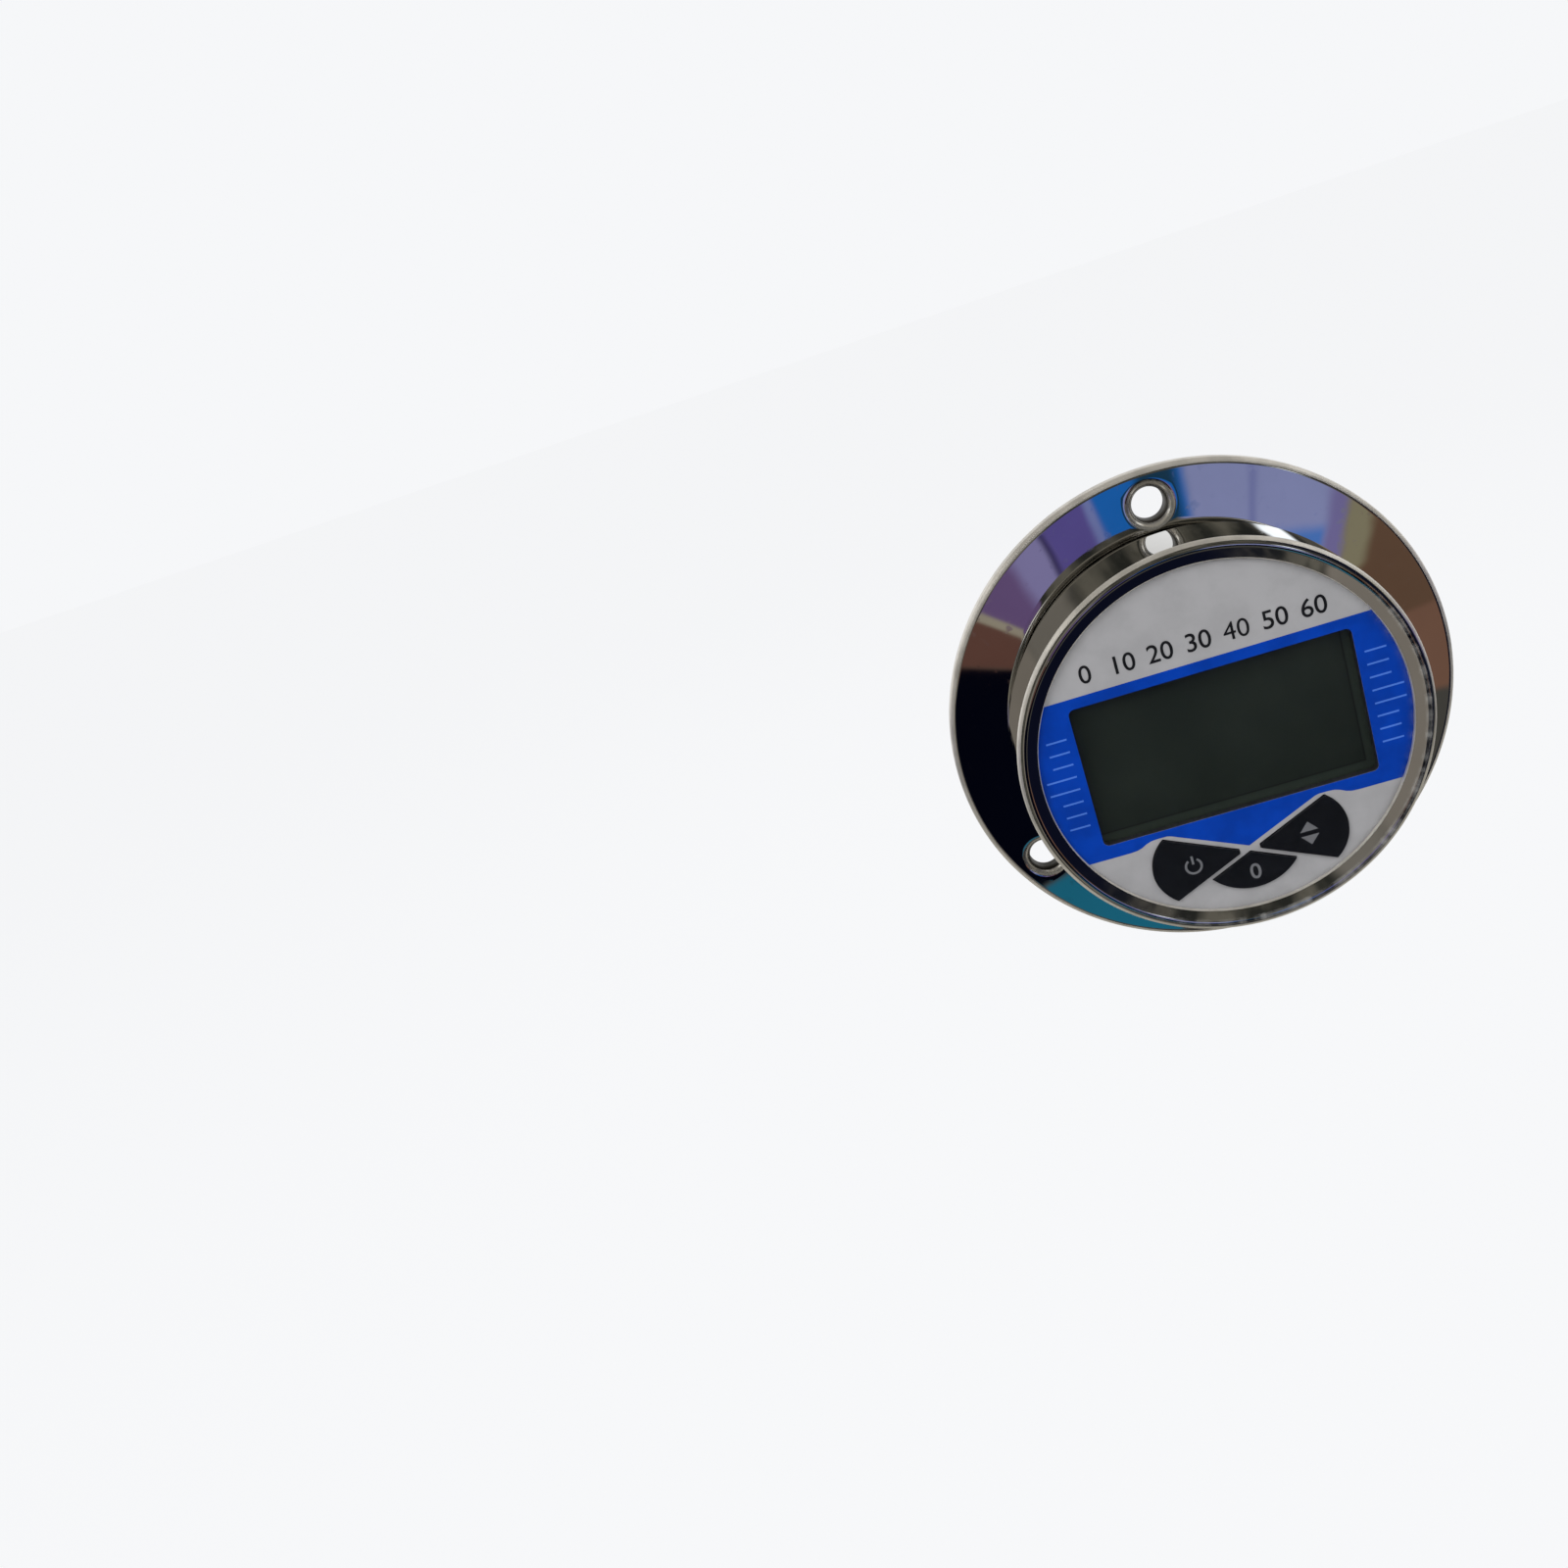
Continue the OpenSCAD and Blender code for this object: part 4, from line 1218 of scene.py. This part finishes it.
class GAUGE_OT_face(Step, bpy.types.Operator):
    """Build the printed film, the blue band, the scale lines and a row of plain numbers"""

    bl_idname = "gauge.face"
    bl_label = "Printed face"

    def execute(self, context):
        size = context.scene.gauge_face
        colours = context.scene.gauge_colours
        face = levels("face_plate")[0]
        film_top = face + size.film
        ink_top = film_top + size.ink
        window = box_outline(size.window_width, size.window_height, size.window_round)
        keys = [key_outline(size, key) for key in KEY_BODIES]
        disc = [circle(size.film_radius, 240), window, *keys]
        film = flat_mesh("face_film", disc, face, film_top)
        place(film, printed("face film", colours.film, 0.42))

        outline = band_outline(size, context.scene.gauge_bezel.dial_radius + size.film)
        band = flat_mesh("blue_band", [outline, window], film_top, ink_top)
        blue = printed("blue ink", colours.band, 0.34, 0.8, coat=0.0, shine=0.1)
        place(band, blue)

        lines = []
        half = size.tick_width / 2
        for side in (-1, 1):
            for k in range(TICKS):
                v = (k - (TICKS - 1) / 2) * size.tick_pitch
                end = size.tick_long if k in LONG_TICKS else size.tick_short
                a, b = sorted((side * size.tick_start, side * end))
                lines.append([(a, v - half), (b, v - half), (b, v + half), (a, v + half)])
        ticks = flat_mesh("scale_lines", lines, ink_top, ink_top + size.ink)
        place(ticks, printed("scale ink", colours.tick, 0.34))

        form = bmesh.new()
        for k in range(NUMBERS):
            # the small opening in the figure 4 would close if its strokes were widened
            weight = 0.0 if k == 4 else size.number_weight
            u = size.number_start + size.number_step * k
            number = word_mesh(
                f"number_{k}", str(k * 10), size.number_height, film_top, ink_top, u,
                size.number_base, weight,
            )
            form.from_mesh(number)
            bpy.data.meshes.remove(number)
        numbers = mesh_from("scale_numbers", form)
        place(numbers, printed("number ink", colours.number))
        return {"FINISHED"}


class GAUGE_OT_display(Step, bpy.types.Operator):
    """Finish the pane, the dark display behind it and the face plate"""

    bl_idname = "gauge.display"
    bl_label = "Display"

    def execute(self, context):
        size = context.scene.gauge_face
        dress("display_window", pane_finish())
        dress("display_glass", display_finish(size, context.scene.gauge_colours))
        dress("face_plate", moulded("face plate plastic", (0.02, 0.021, 0.024), 0.5))
        soft_edges("display_window", size.pane_edge)
        return {"FINISHED"}


class GAUGE_OT_keys(Step, bpy.types.Operator):
    """Finish the three keys and build their plain marks"""

    bl_idname = "gauge.keys"
    bl_label = "Keys"

    def execute(self, context):
        size = context.scene.gauge_face
        colours = context.scene.gauge_colours
        finish = moulded("key plastic", colours.key, 0.38, 0.7, 0.000006)
        legend = printed("key ink", colours.legend, 0.45)
        for key in KEY_BODIES:
            dress(key, finish)
            soft_edges(key, size.key_edge)
        top = levels("key_power")[0]
        ink = top + size.ink
        middle = -size.key_meet

        radius, line = size.power_radius, size.mark_line
        start, end = math.pi / 2 + size.power_gap, math.pi * 2.5 - size.power_gap
        ring = arc(radius + line, start, end, 40) + arc(radius - line, end, start, 40)
        low, high = 0.25 * radius, 1.45 * radius
        bar = [(-line, low), (line, low), (line, high), (-line, high)]
        rise = middle - line
        power = [[(u - size.power_out, v + rise) for u, v in loop] for loop in (ring, bar)]
        out, half = size.arrow_out, size.arrow_half
        arrows = [
            [
                (out + s * half, middle + s * size.arrow_foot),
                (out - s * half, middle + s * size.arrow_foot),
                (out, middle + s * size.arrow_tip),
            ]
            for s in (1, -1)
        ]
        foot = middle - size.zero_drop
        zero = word_mesh(
            "zero_mark", "0", size.zero_height, top, ink, 0, foot, size.zero_weight
        )
        marks = {
            "key_power": flat_mesh("power_mark", power, top, ink),
            "key_zero": zero,
            "key_unit": flat_mesh("unit_mark", arrows, top, ink),
        }
        for key, mesh in marks.items():
            place(mesh, legend, body=KEY_BODIES[key])
        return {"FINISHED"}


class GAUGE_OT_film(Step, bpy.types.Operator):
    """Build the clear film that is stretched over the dial and the bezel's lip"""

    bl_idname = "gauge.film"
    bl_label = "Clear film"

    def execute(self, context):
        size = context.scene.gauge_film
        front = levels("bezel_ring")[0]
        top = [
            (size.middle, front - size.sink),
            (size.flat_radius, front - size.sink),
            (size.flat_radius + size.rise * 0.6, front - size.sink * 0.8),
            (size.flat_radius + size.rise, front + size.proud * 0.5),
            (size.outer, front + size.proud),
        ]
        foot = [(r, h - size.thickness) for r, h in reversed(top)]
        mesh = turned_mesh("clear_film", top + foot, 180)
        place(mesh, film_pleat_sheen(size.strength))
        return {"FINISHED"}


class GAUGE_OT_labels(Step, bpy.types.Operator):
    """Build the bare rear label and the two stickers"""

    bl_idname = "gauge.labels"
    bl_label = "Labels"

    def execute(self, context):
        size = context.scene.gauge_label
        colours = context.scene.gauge_colours
        radius = context.scene.gauge_case.rear_radius
        columns = []
        count = 96
        for k in range(count + 1):
            turn = size.from_angle + (size.to_angle - size.from_angle) * (k / count)
            inset = min(turn - size.from_angle, size.to_angle - turn) * radius
            past = max(0.0, size.corner - inset)
            cut = size.corner - math.sqrt(max(0.0, size.corner**2 - past**2))
            columns.append((turn, -size.start - cut, -size.end + cut))
        label = wrapped_mesh("rear_label", columns, radius, size.thickness)
        place(label, printed("label foil", colours.label, 0.3, 0.93))
        stickers = (
            ("round_sticker", size.round_radius, size.round_angle, 0.0),
            ("small_sticker", size.small_radius, size.small_angle, size.small_back),
        )
        least = 0.01 * MM
        for name, disc, middle, back in stickers:
            level = -size.round_back - back
            columns = []
            count = 40
            for k in range(count + 1):
                across = -math.cos(math.pi * k / count) * disc
                half = max(least, math.sqrt(max(0.0, disc**2 - across**2)))
                columns.append((middle + across / radius, level + half, level - half))
            sticker = wrapped_mesh(name, columns, radius, size.thickness, 12)
            paper = printed(name.replace("_", " ") + " paper", getattr(colours, name), 0.4, 0.85)
            place(sticker, paper)
        return {"FINISHED"}


INSIDE = (
    # material, colour, roughness, how far its patches darken it, the CAD nodes that wear it
    ("black rubber", (0.018, 0.018, 0.019), 0.6, 0.85, "face_gasket sensor_oring"),
    ("white frame", (0.66, 0.64, 0.58), 0.4, 0.94, "display_frame ribbon_socket"),
    ("milky panel", (0.78, 0.84, 0.76), 0.3, 0.97, "backlight_panel"),
    ("pink elastomer", (0.55, 0.33, 0.28), 0.55, 0.85, "display_connector"),
    ("chip plastic", (0.02, 0.02, 0.022), 0.5, 0.8, "board_chips"),
    ("capacitor sleeve", (0.07, 0.10, 0.13), 0.35, 0.85, "board_capacitors"),
    ("carrier plastic", (0.06, 0.065, 0.075), 0.5, 0.85, "carrier"),
    ("cell sleeve", (0.10, 0.24, 0.09), 0.3, 0.85, "battery_cell"),
    ("ribbon grey", (0.30, 0.32, 0.35), 0.45, 0.85, "sensor_ribbon"),
    ("switch body", (0.22, 0.23, 0.24), 0.4, 0.85, "switch_bodies"),
    ("plunger plastic", (0.05, 0.05, 0.055), 0.45, 0.85, "plunger_power plunger_zero plunger_unit"),
)
INSIDE_METALS = (
    ("plated steel", (0.62, 0.62, 0.62), 0.25, 0.9, "board_screws sensor_cell battery_contacts"),
    ("bare brass", (0.62, 0.42, 0.16), 0.28, 0.9, "screw_inserts sensor_clamp_ring sensor_pins"),
)


class GAUGE_OT_inside(Step, bpy.types.Operator):
    """Finish the pieces inside the case"""

    bl_idname = "gauge.inside"
    bl_label = "Inner pieces"

    def execute(self, context):
        for name, tint, gloss, vary, nodes in INSIDE:
            dress(nodes, moulded(name, tint, gloss, vary))
        for name, tint, gloss, vary, nodes in INSIDE_METALS:
            dress(nodes, moulded(name, tint, gloss, vary, 0.000004, 1.0))
        dress("main_board sensor_board", board_finish())
        return {"FINISHED"}


# The room that the metal mirrors, and the stage

CARDS = (
    # what stands there, left and right, low and high, softness, colour, slopes if it has some
    ("grey floor", (-0.60, 0.60), (-1.10, -0.45), 0.03, (0.060, 0.058, 0.052)),
    ("left wall", (-0.62, -0.28), (-1.20, 0.12), 0.04, (0.200, 0.180, 0.155)),
    ("pale ledge", (-0.50, -0.12), (0.10, 0.36), 0.04, (0.170, 0.158, 0.138)),
    ("wooden bench", (0.36, 0.60), (-0.48, -0.12), 0.008, (0.165, 0.088, 0.060)),
    ("bench in shade", (0.36, 0.60), (-0.335, -0.12), 0.006, (0.115, 0.066, 0.042)),
    ("dark table", (-0.37, 0.34), (-0.600, -0.213), 0.004, (0.0010, 0.0014, 0.005)),
    ("teal mat", (-0.17, 0.06), (-0.84, -0.605), 0.005, (0.012, 0.135, 0.220)),
    ("wooden shelf", (-0.22, -0.04), (-0.213, -0.226), 0.004, (0.110, 0.052, 0.040), (0.0, 0.7)),
    ("plum curtain", (-0.16, -0.03), (-0.218, -0.02), 0.005, (0.125, 0.078, 0.190), (0.7, 0.0)),
    ("pale edge", (-0.15, -0.06), (-0.231, -0.215), 0.004, (0.29, 0.26, 0.20), (0.7, 0.7)),
    ("lilac curtain", (-0.046, 0.01), (-0.205, -0.02), 0.010, (0.210, 0.190, 0.38)),
    ("dark fold", (-0.004, 0.008), (-0.205, -0.02), 0.005, (0.040, 0.032, 0.10), (0.8, 0.0)),
    ("purple curtain", (0.004, 0.09), (-0.205, -0.02), 0.006, (0.095, 0.074, 0.27)),
    ("light fold", (0.064, 0.080), (-0.205, -0.02), 0.006, (0.16, 0.19, 0.42)),
    ("blue curtain", (0.078, 0.205), (-0.205, -0.02), 0.006, (0.012, 0.120, 0.44)),
    ("dark gap", (0.135, 0.190), (-0.205, -0.02), 0.010, (0.010, 0.040, 0.080)),
    ("blue wall", (0.200, 0.405), (-0.205, 0.02), 0.009, (0.235, 0.262, 0.48)),
    ("wall corner", (0.284, 0.294), (-0.205, 0.02), 0.005, (0.17, 0.19, 0.41)),
    ("plum box", (0.285, 0.314), (-0.300, 0.026), 0.006, (0.15, 0.10, 0.36), (0.0, 0.50)),
    ("sky box", (0.322, 0.385), (-0.300, 0.032), 0.008, (0.070, 0.180, 0.52), (0.0, 0.50)),
    ("violet box", (0.385, 0.412), (-0.240, -0.10), 0.008, (0.170, 0.150, 0.34)),
    ("olive edge", (0.408, 0.437), (-0.235, -0.12), 0.007, (0.22, 0.20, 0.13)),
    ("window", (0.425, 0.485), (0.030, 0.150), 0.020, (1.40, 1.50, 1.60)),
)
BANDS = (
    # height of the direction and what polished metal mirrors from the sides there
    (-1.00, (0.30, 0.29, 0.25)),
    (-0.62, (0.36, 0.34, 0.29)),
    (-0.48, (0.06, 0.06, 0.055)),
    (-0.28, (0.02, 0.03, 0.05)),
    (-0.14, (0.14, 0.12, 0.24)),
    (-0.03, (0.20, 0.19, 0.30)),
    (0.05, (0.34, 0.32, 0.24)),
    (0.24, (0.22, 0.21, 0.17)),
    (0.38, (0.09, 0.10, 0.12)),
    (0.50, (1.00, 1.00, 0.98)),
    (0.62, (1.00, 1.00, 0.98)),
    (0.73, (0.24, 0.22, 0.18)),
    (1.00, (0.14, 0.13, 0.11)),
)
REAR_BANDS = (
    # the same behind the gauge, with the pale backdrop in the middle
    (-1.00, (0.26, 0.25, 0.22)),
    (-0.55, (0.36, 0.35, 0.32)),
    (-0.30, (0.50, 0.50, 0.49)),
    (-0.10, (0.86, 0.87, 0.88)),
    (0.20, (0.90, 0.91, 0.92)),
    (0.42, (0.46, 0.45, 0.43)),
    (0.70, (0.22, 0.21, 0.19)),
    (1.00, (0.14, 0.13, 0.12)),
)
LAMPS = (
    # name, place in metres, side in metres, share of the main lamp's power
    ("lamp_main", (-0.55, -0.55, 0.75), 0.55, 1.0),
    ("lamp_fill", (0.75, -0.45, 0.35), 0.5, 0.45),
    ("lamp_rear", (0.1, 0.8, 0.6), 0.5, 0.6),
)


def lay_card(t, under, spot, sides, edges, soft, tint, slopes=(0.0, 0.0)):
    """Lays a card with soft edges over what is there, as the metal sees it from in front.

    Spot is the direction across and up, sides are the card's left and right, edges its low
    and high one, and slopes how much these two fall from left to right.
    """
    across, rise = spot
    low, high = (
        t.calc("MULTIPLY_ADD", across, slope, t.calc("SUBTRACT", rise, edge))
        for edge, slope in zip(edges, slopes)
    )
    mask = t.calc("MULTIPLY", t.spread(low, -soft, soft), t.spread(high, -soft, soft, 1.0, 0.0))
    for side, inward in zip(sides, (soft, -soft)):
        mask = t.calc("MULTIPLY", mask, t.spread(across, side - inward, side + inward))
    return t.blend(mask, under, tint)


def banded(t, height, bands):
    """Colours that change with the height of the direction."""
    ramp = t.node("ValToRGB", {"Fac": t.calc("MULTIPLY_ADD", height, 0.5, 0.5)})
    stops = ramp.color_ramp.elements
    while len(stops) < len(bands):
        stops.new(1.0)
    for stop, (level, tint) in zip(stops, bands):
        stop.position = level * 0.5 + 0.5
        stop.color = (*tint, 1.0)
    return ramp.outputs["Color"]


def surround(t):
    """What polished metal mirrors: the pale backdrop behind, bands of a room at the sides
    and, where the camera stands, the darker room with its coloured things."""
    x, y, z = t.split(t.here("Generated"))
    ahead = t.calc("MAXIMUM", t.calc("MULTIPLY", y, -1.0), 0.05)
    across = t.calc("DIVIDE", x, ahead)
    rise = t.calc("DIVIDE", z, ahead)
    flat = t.join(across, rise)
    sway = t.calc("SUBTRACT", t.noise(flat, 16.0, 2.0), 0.5)
    spot = (
        t.calc("MULTIPLY_ADD", sway, 0.012, across),
        t.calc("MULTIPLY_ADD", sway, -0.010, rise),
    )
    clutter = t.spread(t.noise(flat, 6.5, 3.0), 0.40, 0.62)
    front = t.blend(clutter, (0.022, 0.023, 0.020), (0.125, 0.117, 0.096))
    corner = t.calc("MULTIPLY_ADD", rise, -0.35, t.calc("MULTIPLY", across, 0.80))
    front = t.blend(t.spread(corner, 0.15, 0.75), front, (0.004, 0.005, 0.014))
    for _, *card in CARDS:
        front = lay_card(t, front, spot, *card)
    side = t.blend(t.spread(y, 0.30, 0.60), banded(t, z, BANDS), banded(t, z, REAR_BANDS))
    mask = t.calc("MULTIPLY", t.spread(y, -0.28, -0.42), t.spread(z, 0.85, 0.70))
    return t.blend(mask, side, front)


def mixed(t, mask, first, second):
    """The first shader where the mask is 0, the second where it is 1."""
    sockets = {0: mask, 1: first.outputs[0], 2: second.outputs[0]}
    return t.node("MixShader", sockets)


class GAUGE_OT_stage(Step, bpy.types.Operator):
    """Build the camera, the pale floor and backdrop, the lamps and the room round them"""

    bl_idname = "gauge.stage"
    bl_label = "Stage"

    def execute(self, context):
        self.build_camera(context.scene)
        self.build_room(context.scene)
        self.build_floor(context.scene)
        self.build_lamps(context.scene)
        return {"FINISHED"}

    def build_camera(self, scene):
        """The camera at the photograph's viewing angle."""
        view = bpy.data.cameras.new("camera")
        view.lens = scene.gauge_stage.lens
        view.sensor_width = 36.0
        view.clip_start = 0.005
        view.clip_end = 50.0
        camera = bpy.data.objects.new("camera", view)
        camera.location = scene.gauge_stage.camera_place
        camera.rotation_euler = scene.gauge_stage.camera_turn
        scene.collection.objects.link(camera)
        scene.camera = camera
        scene.view_settings.view_transform = "Standard"

    def build_room(self, scene):
        """Even light, the pale backdrop for the camera and the room for the reflections."""
        stage = scene.gauge_stage
        world = bpy.data.worlds.new("room")
        scene.world = world
        world.use_nodes = True
        world.node_tree.nodes.clear()
        t = Tree(world.node_tree)
        rays = t.node("LightPath").outputs
        even, pale, mirrored = (
            t.node("Background", {"Color": tint, "Strength": strength})
            for tint, strength in (
                ((1.0, 0.99, 0.98, 1), stage.sky),
                ((*stage.backdrop, 1), 1.0),
                (surround(t), 1.0),
            )
        )
        seen = t.calc("MAXIMUM", rays["Is Glossy Ray"], rays["Is Transmission Ray"])
        lit = mixed(t, rays["Is Camera Ray"], mixed(t, seen, even, mirrored), pale)
        t.node("OutputWorld", {"Surface": lit.outputs[0]})

    def build_floor(self, scene):
        """A pale floor that takes the gauge's shadow and stays out of its reflections."""
        stage = scene.gauge_stage
        half = stage.floor_size / 2
        form = bmesh.new()
        signs = ((-1, -1), (1, -1), (1, 1), (-1, 1))
        form.faces.new([form.verts.new((x * half, y * half, -stage.floor_drop)) for x, y in signs])
        mesh = mesh_from("floor", form)
        floor = bpy.data.objects.new("floor", mesh)
        scene.collection.objects.link(floor)
        floor.visible_glossy = False
        floor.visible_transmission = False
        material = bpy.data.materials.new("floor")
        material.use_nodes = True
        material.node_tree.nodes.clear()
        t = Tree(material.node_tree)
        rays = t.node("LightPath").outputs
        glow = t.node("Emission", {"Color": (*stage.backdrop, 1), "Strength": 0.94})
        matt = t.node("BsdfDiffuse", {"Color": (0.06, 0.06, 0.06, 1)})
        shown = t.node("AddShader", {0: glow.outputs[0], 1: matt.outputs[0]})
        plain = t.node("BsdfDiffuse", {"Color": (0.6, 0.6, 0.6, 1)})
        seen = t.calc("MAXIMUM", rays["Is Camera Ray"], rays["Is Transmission Ray"])
        t.node("OutputMaterial", {"Surface": mixed(t, seen, plain, shown).outputs[0]})
        mesh.materials.append(material)

    def build_lamps(self, scene):
        """Soft lamps that polished metal doesn't mirror."""
        for name, spot, side, power in LAMPS:
            light = bpy.data.lights.new(name, "AREA")
            light.size = side
            light.energy = scene.gauge_stage.lamp * power
            lamp = bpy.data.objects.new(name, light)
            lamp.location = spot
            lamp.rotation_euler = (-Vector(spot)).to_track_quat("-Z", "Y").to_euler()
            lamp.visible_glossy = False
            scene.collection.objects.link(lamp)


STEPS = (
    GAUGE_OT_bezel,
    GAUGE_OT_case,
    GAUGE_OT_flange,
    GAUGE_OT_fitting,
    GAUGE_OT_cap,
    GAUGE_OT_face,
    GAUGE_OT_display,
    GAUGE_OT_keys,
    GAUGE_OT_film,
    GAUGE_OT_labels,
    GAUGE_OT_inside,
    GAUGE_OT_stage,
)


class GAUGE_PT_panel(bpy.types.Panel):
    """The building steps in the sidebar of the 3D view"""

    bl_idname = "GAUGE_PT_panel"
    bl_label = "Gauge"
    bl_space_type = "VIEW_3D"
    bl_region_type = "UI"
    bl_category = "Gauge"

    def draw(self, context):
        for step in STEPS:
            self.layout.operator(step.bl_idname)
        for name, group in GROUPS.items():
            box = self.layout.box()
            for key in group.__annotations__:
                box.prop(getattr(context.scene, name), key)


CLASSES = (*GROUPS.values(), *STEPS, GAUGE_PT_panel)


def register():
    for cls in CLASSES:
        bpy.utils.register_class(cls)
    for name, group in GROUPS.items():
        setattr(bpy.types.Scene, name, PointerProperty(type=group))


def unregister():
    for name in GROUPS:
        delattr(bpy.types.Scene, name)
    for cls in reversed(CLASSES):
        bpy.utils.unregister_class(cls)


def main():
    register()
    for step in STEPS:
        getattr(bpy.ops.gauge, step.bl_idname.split(".")[1])()


if __name__ == "__main__":
    main()
